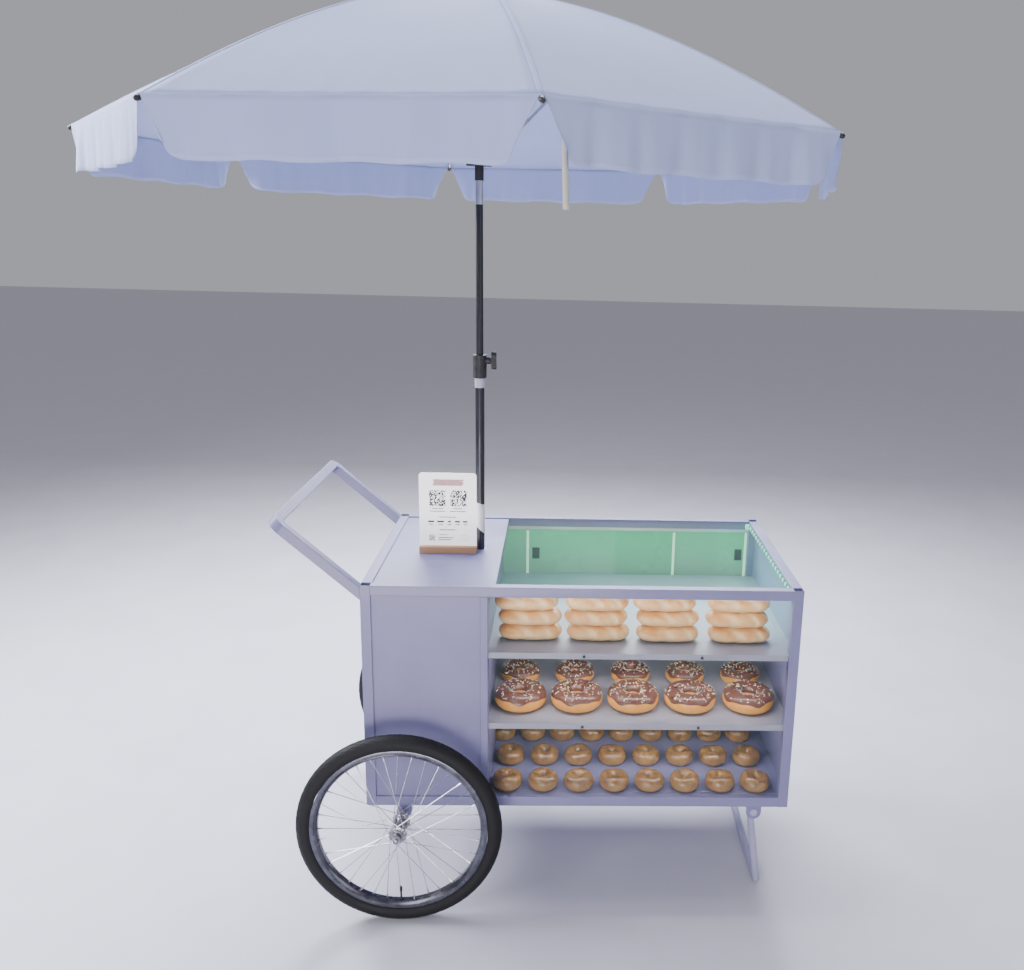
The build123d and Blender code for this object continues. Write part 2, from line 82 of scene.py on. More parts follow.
class Tree:
    """Short calls for adding nodes to a material or a node group."""

    def __init__(self, tree):
        self.tree = tree

    def add(self, kind, inputs=None, **settings):
        node = self.tree.nodes.new("ShaderNode" + kind)
        for name, value in settings.items():
            setattr(node, name, value)
        self.plug(node, inputs or {})
        return node

    def plug(self, node, inputs):
        """Sets a node's inputs by name or number, each to a value or a link."""
        for key, value in inputs.items():
            if isinstance(value, bpy.types.NodeSocket):
                self.tree.links.new(value, node.inputs[key])
            else:
                node.inputs[key].default_value = value

    def math(self, operation, a, b=0.0, c=0.0, clamp=False):
        node = self.add("Math", {0: a, 1: b, 2: c}, operation=operation, use_clamp=clamp)
        return node.outputs[0]

    def mix(self, factor, a, b):
        node = self.add("Mix", {0: factor, 6: a, 7: b}, data_type="RGBA")
        return node.outputs[2]

    def spread(self, value, low, high, out_low, out_high):
        node = self.add("MapRange", {0: value, 1: low, 2: high, 3: out_low, 4: out_high})
        return node.outputs[0]

    def group(self, tree, inputs):
        node = self.add("Group")
        node.node_tree = tree
        self.plug(node, inputs)
        return node.outputs


def new_group(name, inputs, outputs):
    """An empty node group with its named inputs and outputs."""
    tree = bpy.data.node_groups.new(name, "ShaderNodeTree")
    for label, kind, default in inputs:
        socket = tree.interface.new_socket(label, in_out="INPUT", socket_type="NodeSocket" + kind)
        if default is not None:
            socket.default_value = default
    for label, kind in outputs:
        tree.interface.new_socket(label, in_out="OUTPUT", socket_type="NodeSocket" + kind)
    t = Tree(tree)
    t.ins = tree.nodes.new("NodeGroupInput").outputs
    t.outs = tree.nodes.new("NodeGroupOutput").inputs
    return t


def grain_group():
    """Two colours mottled together, with a fine height for bumps."""
    t = new_group("Grain", [
        ("Vector", "Vector", None), ("Colour A", "Color", (0.5, 0.5, 0.5, 1)),
        ("Colour B", "Color", (0.6, 0.6, 0.6, 1)), ("Scale", "Float", 20.0),
        ("Fine Scale", "Float", 400.0)],
        [("Colour", "Color"), ("Value", "Float"), ("Height", "Float")])
    broad = t.add("TexNoise", {"Vector": t.ins["Vector"], "Scale": t.ins["Scale"],
                               "Detail": 5.0, "Roughness": 0.6}).outputs[0]
    fine = t.add("TexNoise", {"Vector": t.ins["Vector"], "Scale": t.ins["Fine Scale"],
                              "Detail": 2.0}).outputs[0]
    value = t.spread(broad, 0.32, 0.68, 0.0, 1.0)
    links = t.tree.links
    links.new(t.mix(value, t.ins["Colour A"], t.ins["Colour B"]), t.outs["Colour"])
    links.new(value, t.outs["Value"])
    links.new(fine, t.outs["Height"])
    return t.tree


def edge_wear_and_highlight_group():
    """A mask that is 1 on the edges of a piece, for rubbed wear and a painted highlight along the
    edges.
    """
    t = new_group("Edge Wear and Highlight", [("Vector", "Vector", None), ("Radius", "Float", 0.002),
                                ("Amount", "Float", 0.5)], [("Mask", "Float")])
    round_normal = t.add("Bevel", {"Radius": t.ins["Radius"]}, samples=4).outputs[0]
    flat_normal = t.add("NewGeometry").outputs["Normal"]
    dot = t.add("VectorMath", {0: round_normal, 1: flat_normal},
                operation="DOT_PRODUCT").outputs["Value"]
    edge = t.spread(dot, 0.995, 0.86, 0.0, 1.0)
    patches = t.add("TexNoise", {"Vector": t.ins["Vector"], "Scale": 24.0,
                                 "Detail": 6.0}).outputs[0]
    mask = t.math("MULTIPLY", edge, t.spread(patches, 0.46, 0.68, 0.0, 1.0))
    t.tree.links.new(t.math("MULTIPLY", mask, t.ins["Amount"], clamp=True), t.outs["Mask"])
    return t.tree


def dust_group():
    """A mask of dust that settles on faces that look up."""
    t = new_group("Dust", [("Vector", "Vector", None), ("Amount", "Float", 0.2)],
                  [("Mask", "Float")])
    up = t.add("SeparateXYZ", {0: t.add("NewGeometry").outputs["Normal"]}).outputs[2]
    patches = t.add("TexNoise", {"Vector": t.ins["Vector"], "Scale": 9.0,
                                 "Detail": 8.0}).outputs[0]
    mask = t.math("MULTIPLY", t.spread(up, 0.2, 0.95, 0.15, 1.0),
                  t.spread(patches, 0.35, 0.75, 0.2, 1.0))
    t.tree.links.new(t.math("MULTIPLY", mask, t.ins["Amount"], clamp=True), t.outs["Mask"])
    return t.tree


def weave_group():
    """Plain weave from a flat layout in metres, and a stitched line along the hem."""
    t = new_group("Weave", [("Vector", "Vector", None), ("Threads", "Float", 900.0),
                            ("Hem", "Float", 0.014)],
                  [("Height", "Float"), ("Stitch", "Float"), ("Crease", "Float")])
    parts = t.add("SeparateXYZ", {0: t.ins["Vector"]}).outputs
    turn = t.math("MULTIPLY", t.ins["Threads"], math.pi)
    warp = t.math("SINE", t.math("MULTIPLY", parts[0], turn))
    weft = t.math("SINE", t.math("MULTIPLY", parts[1], turn))
    t.tree.links.new(t.math("MULTIPLY", warp, weft), t.outs["Height"])
    off = t.math("ABSOLUTE", t.math("SUBTRACT", parts[1], t.ins["Hem"]))
    line = t.spread(off, 0.0006, 0.0012, 1.0, 0.0)
    dash = t.math("FRACT", t.math("MULTIPLY", parts[0], 240.0))
    t.tree.links.new(t.math("MULTIPLY", line, t.spread(dash, 0.6, 0.7, 1.0, 0.0)),
                     t.outs["Stitch"])
    stretched = t.add("Mapping", {"Vector": t.ins["Vector"],
                                  "Scale": (9.0, 1.3, 1.0)}).outputs[0]
    crease = t.add("TexNoise", {"Vector": stretched, "Scale": 1.6, "Detail": 3.0,
                                "Distortion": 0.7}).outputs[0]
    t.tree.links.new(crease, t.outs["Crease"])
    return t.tree


GRAIN = grain_group()
EDGE_WEAR_AND_HIGHLIGHT = edge_wear_and_highlight_group()
DUST = dust_group()
WEAVE = weave_group()


def new_material(name):
    """A material with one shader on its output, and object coordinates ready to use."""
    material = bpy.data.materials.new(name)
    material.use_nodes = True
    material.node_tree.nodes.clear()
    t = Tree(material.node_tree)
    t.material = material
    t.shader = t.add("BsdfPrincipled")
    t.add("OutputMaterial", {"Surface": t.shader.outputs[0]})
    t.where = t.add("TexCoord").outputs["Object"]
    return t


def set_inputs(t, **values):
    """Plug values or links into the shader's inputs by name, with _ for a space."""
    t.plug(t.shader, {key.replace("_", " "): value for key, value in values.items()})


def bump(t, height, strength, distance=0.001):
    """A bump from a height, plugged into the shader's normal."""
    node = t.add("Bump", {"Height": height, "Strength": strength, "Distance": distance})
    set_inputs(t, Normal=node.outputs[0])


def surface(name, dark, light, rough=(0.4, 0.5), scale=20.0, fine=400.0, relief=0.1,
            stretch=(1.0, 1.0, 1.0), edge_wear_and_highlight=None, edge_wear_and_highlight_amount=0.6, radius=0.002, dust=0.0,
            **constants):
    """The general finish: mottled colour, uneven gloss, fine relief, edges coloured for wear and a
    painted highlight, dust.
    """
    t = new_material(name)
    vector = t.add("Mapping", {"Vector": t.where, "Scale": stretch}).outputs[0]
    grain = t.group(GRAIN, {"Vector": vector, "Colour A": (*dark, 1), "Colour B": (*light, 1),
                            "Scale": scale, "Fine Scale": fine})
    colour = grain["Colour"]
    roughness = t.spread(grain["Value"], 0.0, 1.0, rough[0], rough[1])
    # Edge colour mixed in on the edges: wear, and a painted highlight where edges catch the light.
    if edge_wear_and_highlight is not None:
        mask = t.group(EDGE_WEAR_AND_HIGHLIGHT, {"Vector": t.where, "Radius": radius, "Amount": edge_wear_and_highlight_amount})[0]
        colour = t.mix(mask, colour, (*edge_wear_and_highlight, 1))
    if dust:
        mask = t.group(DUST, {"Vector": t.where, "Amount": dust})[0]
        colour = t.mix(mask, colour, (0.42, 0.40, 0.38, 1))
        roughness = t.math("MAXIMUM", roughness, t.math("MULTIPLY", mask, 0.9))
    set_inputs(t, Base_Color=colour, Roughness=roughness, **constants)
    bump(t, grain["Height"], relief, 0.0004)
    return t.material


# ---- Finishes -----------------------------------------------------------------------

def glass_finish():
    t = new_material("display_glass")
    smear = t.add("TexNoise", {"Vector": t.where, "Scale": 5.0, "Detail": 6.0}).outputs[0]
    facing = t.add("LayerWeight", {"Blend": 0.25}).outputs["Facing"]
    alpha = t.math("ADD", t.spread(facing, 0.0, 1.0, 0.03, 0.20),
                   t.spread(smear, 0.45, 0.8, 0.0, 0.02))
    tint = t.mix(smear, (0.10, 0.17, 0.14, 1), (0.14, 0.22, 0.19, 1))
    set_inputs(t, Base_Color=tint, Alpha=alpha, Roughness=t.spread(smear, 0.3, 0.8, 0.02, 0.07),
               IOR=1.5, Specular_IOR_Level=0.25)
    return t.material


def door_finish():
    """Milky sheet, with a painted green glow near its top, in its colour and its emission,
    standing for the strip light's light.
    """
    t = new_material("door_sheet")
    mottle = t.add("TexNoise", {"Vector": t.where, "Scale": 3.0, "Detail": 4.0}).outputs[0]
    high = t.add("SeparateXYZ", {0: t.where}).outputs[2]
    # Painted glow: the sheet turns greener and glows towards its top, where the strip light falls.
    painted_glow_mask = t.spread(high, 0.74, 0.97, 0.0, 1.0)
    grey = t.mix(mottle, (0.30, 0.31, 0.33, 1), (0.36, 0.37, 0.38, 1))
    painted_glow_colour = t.mix(mottle, (0.035, 0.43, 0.19, 1), (0.05, 0.50, 0.24, 1))
    set_inputs(t, Base_Color=t.mix(painted_glow_mask, grey, painted_glow_colour), Alpha=0.82, Roughness=t.spread(
        mottle, 0.3, 0.7, 0.22, 0.34), Coat_Weight=0.2, Emission_Color=painted_glow_colour,
               Emission_Strength=t.math("MULTIPLY", painted_glow_mask, 0.42))
    fine = t.add("TexNoise", {"Vector": t.where, "Scale": 60.0}).outputs[0]
    bump(t, fine, 0.05, 0.0005)
    return t.material


def light_finish():
    """A row of small lit points in a clear sleeve."""
    t = new_material("light_strip")
    along = t.add("SeparateXYZ", {0: t.where}).outputs[1]
    wave = t.math("FRACT", t.math("MULTIPLY", along, 28.0))
    point = t.spread(t.math("ABSOLUTE", t.math("SUBTRACT", wave, 0.5)), 0.12, 0.24, 1.0, 0.0)
    colour = t.mix(point, (0.03, 0.50, 0.22, 1), (0.22, 1.0, 0.58, 1))
    set_inputs(t, Base_Color=(0.05, 0.24, 0.15, 1), Emission_Color=colour,
               Emission_Strength=t.spread(point, 0.0, 1.0, 0.10, 2.4), Roughness=0.3)
    return t.material


def pole_finish():
    """Black coated tube, bare metal above the runner's lowest place."""
    t = new_material("upper_pole")
    vector = t.add("Mapping", {"Vector": t.where, "Scale": (1.0, 1.0, 0.05)}).outputs[0]
    streak = t.add("TexNoise", {"Vector": vector, "Scale": 260.0, "Detail": 3.0}).outputs[0]
    high = t.add("SeparateXYZ", {0: t.where}).outputs[2]
    bare = t.spread(high, 2.076, 2.078, 0.0, 1.0)
    black = t.mix(streak, (0.006, 0.006, 0.009, 1), (0.012, 0.012, 0.017, 1))
    steel = t.mix(streak, (0.42, 0.43, 0.45, 1), (0.62, 0.63, 0.66, 1))
    set_inputs(t, Base_Color=t.mix(bare, black, steel), Metallic=bare,
               Roughness=t.spread(streak, 0.3, 0.7, 0.28, 0.42))
    bump(t, streak, 0.04, 0.0003)
    return t.material


def fabric_finish(name, light, dark):
    t = new_material(name)
    flat = t.add("UVMap").outputs[0]
    weave = t.group(WEAVE, {"Vector": flat})
    stain = t.add("TexNoise", {"Vector": t.where, "Scale": 2.2, "Detail": 6.0}).outputs[0]
    colour = t.mix(t.spread(stain, 0.35, 0.7, 0.0, 1.0), (*light, 1), (*dark, 1))
    colour = t.mix(t.math("MULTIPLY", weave["Stitch"], 0.55), colour, (0.42, 0.44, 0.5, 1))
    height = t.math("ADD", t.math("MULTIPLY", weave["Height"], 0.12),
                    t.math("MULTIPLY", weave["Crease"], 2.2))
    height = t.math("SUBTRACT", height, t.math("MULTIPLY", weave["Stitch"], 0.3))
    set_inputs(t, Base_Color=colour, Roughness=t.spread(stain, 0.3, 0.7, 0.78, 0.88),
               Sheen_Weight=0.25)
    bump(t, height, 0.5, 0.003)
    return t.material


def icing_finish():
    t = new_material("chocolate_icing")
    patch = t.add("TexNoise", {"Vector": t.where, "Scale": 35.0, "Detail": 3.0}).outputs[0]
    colour = t.mix(patch, (0.105, 0.034, 0.026, 1), (0.17, 0.065, 0.045, 1))
    set_inputs(t, Base_Color=colour, Roughness=t.spread(patch, 0.3, 0.7, 0.25, 0.42),
               Coat_Weight=0.25)
    bump(t, patch, 0.25, 0.002)
    return t.material


def baked_finish(name, pale, brown, glaze, height_scale=45.0, scored=False):
    """Baked dough: paler in the scores and low down, browner on top."""
    t = new_material(name)
    crust = t.add("TexNoise", {"Vector": t.where, "Scale": height_scale, "Detail": 5.0,
                               "Distortion": 0.6}).outputs[0]
    up = t.add("SeparateXYZ", {0: t.add("NewGeometry").outputs["Normal"]}).outputs[2]
    brownness = t.math("MULTIPLY", t.spread(up, -0.7, 0.5, 0.25, 1.0),
                       t.spread(crust, 0.3, 0.7, 0.35, 1.1), clamp=True)
    if scored:
        score = t.add("Attribute", attribute_name="score").outputs["Fac"]
        brownness = t.math("MULTIPLY", brownness, t.spread(score, 0.1, 0.8, 1.0, 0.1))
    set_inputs(t, Base_Color=t.mix(brownness, (*pale, 1), (*brown, 1)),
               Roughness=t.spread(crust, 0.3, 0.7, 0.38 - 0.2 * glaze, 0.6 - 0.3 * glaze),
               Coat_Weight=t.spread(crust, 0.35, 0.6, 0.0, glaze), Subsurface_Weight=0.08)
    bump(t, crust, 0.35, 0.003)
    return t.material


def sprinkle_finish():
    t = new_material("sprinkles")
    tint = t.add("Attribute", attribute_name="tint").outputs["Color"]
    speck = t.add("TexNoise", {"Vector": t.where, "Scale": 300.0}).outputs[0]
    set_inputs(t, Base_Color=t.mix(t.math("MULTIPLY", speck, 0.2), tint, (0.8, 0.8, 0.8, 1)),
               Roughness=t.spread(speck, 0.3, 0.7, 0.35, 0.5))
    return t.material


PAINT_DARK, PAINT_LIGHT = (0.17, 0.162, 0.315), (0.20, 0.192, 0.355)
FINISH = {
    # The pale lavender edge colour is a painted edge highlight as well as wear.
    "paint": surface("lavender_paint", PAINT_DARK, PAINT_LIGHT, (0.34, 0.44), 6.0, 500.0, 0.12,
                     edge_wear_and_highlight=(0.40, 0.40, 0.58), edge_wear_and_highlight_amount=0.5, dust=0.02, Coat_Weight=0.15),
    "clear_glass": glass_finish(),
    # The pale edge colour is a painted edge highlight as well as wear.
    "shelf_board": surface("shelf_board", (0.30, 0.30, 0.38), (0.35, 0.35, 0.43), (0.4, 0.5),
                           8.0, 300.0, 0.1, edge_wear_and_highlight=(0.62, 0.63, 0.68), dust=0.05),
    "door_sheet": door_finish(),
    "track_metal": surface("track_metal", (0.55, 0.56, 0.60), (0.66, 0.67, 0.70), (0.3, 0.42),
                           80.0, 600.0, 0.08, stretch=(0.06, 1, 1), Metallic=1.0),
    "light_strip": light_finish(),
    "axle_steel": surface("axle_steel", (0.42, 0.42, 0.44), (0.58, 0.58, 0.60), (0.3, 0.42),
                          50.0, 700.0, 0.1, edge_wear_and_highlight=(0.75, 0.75, 0.76), Metallic=1.0),
    "stand_steel": surface("stand_paint", (0.30, 0.30, 0.46), (0.35, 0.35, 0.52), (0.38, 0.5),
                           12.0, 500.0, 0.12, edge_wear_and_highlight=(0.40, 0.38, 0.38), dust=0.12),
    "tyre": surface("tyre_rubber", (0.0035, 0.0035, 0.005), (0.007, 0.007, 0.009), (0.55, 0.7),
                    18.0, 900.0, 0.2, edge_wear_and_highlight=(0.014, 0.014, 0.015), dust=0.015,
                    Specular_IOR_Level=0.3),
    "rim_metal": surface("rim_metal", (0.085, 0.085, 0.105), (0.15, 0.15, 0.18), (0.2, 0.32),
                         30.0, 800.0, 0.06, edge_wear_and_highlight=(0.45, 0.45, 0.48), Metallic=1.0),
    "spoke_steel": surface("spoke_steel", (0.40, 0.40, 0.44), (0.60, 0.60, 0.64), (0.16, 0.28),
                           60.0, 900.0, 0.05, Metallic=1.0),
    "hub_metal": surface("hub_metal", (0.16, 0.16, 0.18), (0.34, 0.34, 0.37), (0.2, 0.36),
                         40.0, 700.0, 0.08, edge_wear_and_highlight=(0.7, 0.7, 0.72), Metallic=1.0),
    "socket_steel": surface("socket_steel", (0.34, 0.34, 0.37), (0.46, 0.46, 0.49),
                            (0.35, 0.5), 30.0, 600.0, 0.1, Metallic=1.0),
    "pole_black": surface("pole_black", (0.006, 0.006, 0.012), (0.012, 0.012, 0.022),
                          (0.28, 0.4), 20.0, 500.0, 0.06, edge_wear_and_highlight=(0.08, 0.08, 0.09),
                          edge_wear_and_highlight_amount=0.3, Coat_Weight=0.2),
    "black_plastic": surface("black_plastic", (0.008, 0.008, 0.010), (0.016, 0.016, 0.018),
                             (0.42, 0.55), 60.0, 900.0, 0.25, edge_wear_and_highlight=(0.06, 0.06, 0.065)),
    "rib_steel": surface("rib_steel", (0.40, 0.41, 0.44), (0.54, 0.55, 0.58), (0.34, 0.46),
                         60.0, 700.0, 0.08, Metallic=0.8),
    "canopy_fabric": fabric_finish("canopy_fabric", (0.40, 0.46, 0.76), (0.365, 0.425, 0.71)),
    # The sign card glows white: painted light that keeps it as bright as a lit card.
    "sign_card": surface("sign_card", (0.93, 0.93, 0.93), (0.96, 0.96, 0.96), (0.35, 0.45),
                         14.0, 600.0, 0.03, Coat_Weight=0.2,
                         Emission_Color=(1.0, 1.0, 1.0, 1.0), Emission_Strength=0.9),
}
UPPER_POLE = pole_finish()
STRAP = fabric_finish("strap_web", (0.66, 0.63, 0.54), (0.58, 0.55, 0.47))
CARD_WOOD = surface("base_wood", (0.42, 0.22, 0.11), (0.58, 0.34, 0.19), (0.45, 0.6),
                    16.0, 300.0, 0.2, stretch=(0.15, 1.0, 1.0))
PRINT_DARK = surface("print_dark", (0.045, 0.045, 0.05), (0.07, 0.07, 0.075), (0.5, 0.6))
PRINT_GREY = surface("print_grey", (0.28, 0.28, 0.30), (0.36, 0.36, 0.38), (0.5, 0.6))
PRINT_PINK = surface("print_pink", (0.86, 0.50, 0.50), (0.92, 0.60, 0.58), (0.5, 0.6), 60.0)
TAG_PAPER = surface("tag_paper", (0.66, 0.66, 0.68), (0.74, 0.74, 0.76), (0.55, 0.65))
BAND = surface("pole_band", (0.36, 0.36, 0.44), (0.44, 0.44, 0.52), (0.4, 0.5), 40.0)
# Door edge strips: pale green with a glow, painted light along the edges of the doors.
PAINTED_GLOW_EDGE_STRIP = surface("door_edge_painted_glow", (0.56, 0.80, 0.62), (0.66, 0.88, 0.70), (0.2, 0.3),
                     30.0, Emission_Color=(0.62, 1.0, 0.70, 1.0), Emission_Strength=0.55)
# Dark trim for the screws and the pull lips, and painted shade across the finger pulls' openings.
DARK_TRIM_AND_SHADE = surface("dark_trim_and_shade", (0.010, 0.012, 0.012), (0.03, 0.035, 0.035), (0.4, 0.55), 90.0)
CHOCOLATE = icing_finish()
RING_DOUGH = baked_finish("ring_dough", (0.90, 0.43, 0.09), (0.80, 0.31, 0.05), 0.3)
LOAF_CRUST = baked_finish("loaf_crust", (0.92, 0.66, 0.36), (0.76, 0.34, 0.085), 0.2, 26.0,
                          scored=True)
GLAZED_DOUGH = baked_finish("glazed_dough", (0.50, 0.28, 0.10), (0.12, 0.05, 0.018), 0.9, 75.0)
SPRINKLES = sprinkle_finish()

for part in frame["record"]["subparts"]:
    node = nodes[part["node"]]
    node.data.materials.clear()
    node.data.materials.append(FINISH[part["material_slot"]])
nodes["upper_pole"].data.materials[0] = UPPER_POLE


# ---- Modelling tools ----------------------------------------------------------------

def add_block(bm, low, high, bevel=0.0, segments=2):
    """A box between two corners, with rounded edges if bevel is set."""
    low, high = Vector(low), Vector(high)
    size = high - low
    place = Matrix.Translation((low + high) / 2) @ Matrix.Diagonal((*size, 1))
    made = bmesh.ops.create_cube(bm, size=1.0, matrix=place)["verts"]
    if bevel:
        edges = list({e for v in made for e in v.link_edges})
        bmesh.ops.bevel(bm, geom=edges, offset=bevel, segments=segments, profile=0.5,
                        affect="EDGES", material=-1)


def add_rod(bm, start, end, radius, far_radius=None, segments=12):
    """A round bar between two points."""
    start, end = Vector(start), Vector(end)
    along = end - start
    turn = along.to_track_quat("Z", "Y").to_matrix().to_4x4()
    bmesh.ops.create_cone(
        bm, cap_ends=True, segments=segments, radius1=radius,
        radius2=radius if far_radius is None else far_radius, depth=along.length,
        matrix=Matrix.Translation((start + end) / 2) @ turn)


def add_spun(bm, outline, centre, axis, steps, closed=True):
    """A turned shape: outline is (radius, height along the axis) pairs."""
    axis = Vector(axis).normalized()
    turn = axis.to_track_quat("Z", "X").to_matrix().to_4x4()
    place = Matrix.Translation(centre) @ turn
    verts = [bm.verts.new(place @ Vector((r, 0, h))) for r, h in outline]
    pairs = list(zip(verts, verts[1:])) + ([(verts[-1], verts[0])] if closed else [])
    edges = [bm.edges.new(pair) for pair in pairs]
    bmesh.ops.spin(bm, geom=verts + edges, cent=centre, axis=axis, dvec=(0, 0, 0),
                   angle=math.tau, steps=steps, use_merge=True, use_duplicate=False)


def add_tube(bm, points, radius, segments=8):
    """A closed tube along a line of points."""
    points = [Vector(p) for p in points]
    rings = []
    for k, point in enumerate(points):
        ahead = points[min(k + 1, len(points) - 1)] - points[max(k - 1, 0)]
        turn = ahead.to_track_quat("Z", "Y").to_matrix().to_4x4()
        ring = bmesh.ops.create_circle(bm, cap_ends=k in (0, len(points) - 1), radius=radius,
                                       segments=segments,
                                       matrix=Matrix.Translation(point) @ turn)["verts"]
        rings.append([e for e in {e for v in ring for e in v.link_edges}])
    for near, far in zip(rings, rings[1:]):
        bmesh.ops.bridge_loops(bm, edges=near + far)


def make_piece(name, bm, body, material, angle=35.0, outward=True):
    """Turns a finished mesh into a piece that rides on a body."""
    bmesh.ops.remove_doubles(bm, verts=bm.verts, dist=1e-6)
    if outward:
        bmesh.ops.recalc_face_normals(bm, faces=bm.faces)
    mesh = bpy.data.meshes.new(name)
    bm.to_mesh(mesh)
    bm.free()
    mesh.materials.append(material)
    mesh.shade_smooth()
    mesh.set_sharp_from_angle(angle=math.radians(angle))
    piece = bpy.data.objects.new(name, mesh)
    scene.collection.objects.link(piece)
    if body:
        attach(piece, body)
    return piece


def thicken(piece, thickness):
    """Fabric's thickness, outwards from the modelled face."""
    solid = piece.modifiers.new("thickness", "SOLIDIFY")
    solid.thickness = thickness
    solid.offset = 1.0


def flatten_modifiers(piece):
    """Applies the piece's modifiers, so its mesh is final."""
    graph = bpy.context.evaluated_depsgraph_get()
    bpy.context.view_layer.update()
    final = bpy.data.meshes.new_from_object(piece.evaluated_get(graph))
    piece.modifiers.clear()
    piece.data = final


# ---- Canopy -------------------------------------------------------------------------

rim_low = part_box("canopy_gore_1")[0].z
TIP = 1.080
RIM_Z = rim_low
RISE = 0.400
POWER = 1.6
RIM = TIP * math.cos(HALF_GORE)
HUB_HOLE = 0.012
SAG = 0.010
BOW = 0.012


def dome(radius):
    return RIM_Z + RISE * (1 - (radius / TIP) ** POWER)


def on_gore(s, t):
    """A point of the fabric: s from the crown to the rim, t across from rib to rib."""
    radius = HUB_HOLE + (TIP - HUB_HOLE) * s
    slack = 1 - t * t
    out = radius * math.cos(HALF_GORE) - BOW * slack * s ** 3
    ripple = 0.0012 * math.sin(t * 23.0 + 2.0 * s) * s ** 10
    down = SAG * slack * math.sin(math.pi * min(s * 0.9 + 0.05, 1.0)) + ripple
    return Vector((out, t * radius * math.sin(HALF_GORE), dome(radius) - down + 0.0004))


def rim_out(y):
    """How far out the rim is at a distance y from the gore's middle line."""
    t = y / (TIP * math.sin(HALF_GORE))
    return RIM - BOW * (1 - t * t)


def map_grid(across, along, place, flat):
    """A grid whose points are moved to place(u, v), with a layout in metres from flat."""
    bm = bmesh.new()
    bmesh.ops.create_grid(bm, x_segments=across, y_segments=along, size=1.0)
    layout = bm.loops.layers.uv.new("flat")
    for face in bm.faces:
        for loop in face.loops:
            u, v = loop.vert.co.x, (loop.vert.co.y + 1) / 2
            loop[layout].uv = flat(u, v)
    for vert in bm.verts:
        vert.co = place(vert.co.x, (vert.co.y + 1) / 2)
    return bm


def turned(bm, degrees):
    bmesh.ops.rotate(bm, verts=bm.verts, cent=(0, 0, 0),
                     matrix=Matrix.Rotation(math.radians(degrees), 3, "Z"))


def face_out(bm, towards):
    """Turns every face the way that towards(centre) points."""
    flipped = [f for f in bm.faces if f.normal.dot(towards(f.calc_center_median())) < 0]
    bmesh.ops.reverse_faces(bm, faces=flipped)


gore_width = 2 * TIP * math.sin(HALF_GORE)
gore_length = sum((on_gore((k + 1) / 60, 0) - on_gore(k / 60, 0)).length for k in range(60))
flap_half = gore_width / 2 - 0.0032
flap_drop = RIM_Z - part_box("valance_1")[0].z
flap_low_half = flap_half - 0.050
flap_corner = 0.035


def gore_flat(t, s):
    return (t * gore_width / 2 * s, gore_length * (1 - s))


def flap_depth(share):
    """Depth of the flap under a share of its width, less where its corners are rounded."""
    over = max(flap_low_half * (abs(share) - 1) + flap_corner, 0.0)
    return flap_drop - flap_corner + math.sqrt(max(flap_corner ** 2 - over ** 2, 0.0))


def on_flap(u, v, phase):
    """A point of the flap, gathered under the hem and looser towards its lower edge."""
    share = math.sin(u * math.pi / 2)
    y = share * (flap_half + (flap_low_half - flap_half) * v)
    gather = 0.0092 * math.sin(y * 24.0 + phase) * (0.65 + 0.35 * math.sin(y * 7.7 + 2 * phase))
    crimp = 0.0046 * math.sin(y * 58.0 + 2.3 * phase) + 0.0022 * math.sin(y * 113.0 + phase)
    loose = v ** 0.75
    out = rim_out(share * flap_half) + 0.0034 + loose * (0.005 + gather + crimp)
    lift = 0.0024 * (1 + math.sin(y * 31.0 + 1.9 * phase)) * v
    return Vector((out, y, RIM_Z + 0.0012 - (flap_depth(share) + 0.0012) * v + lift))


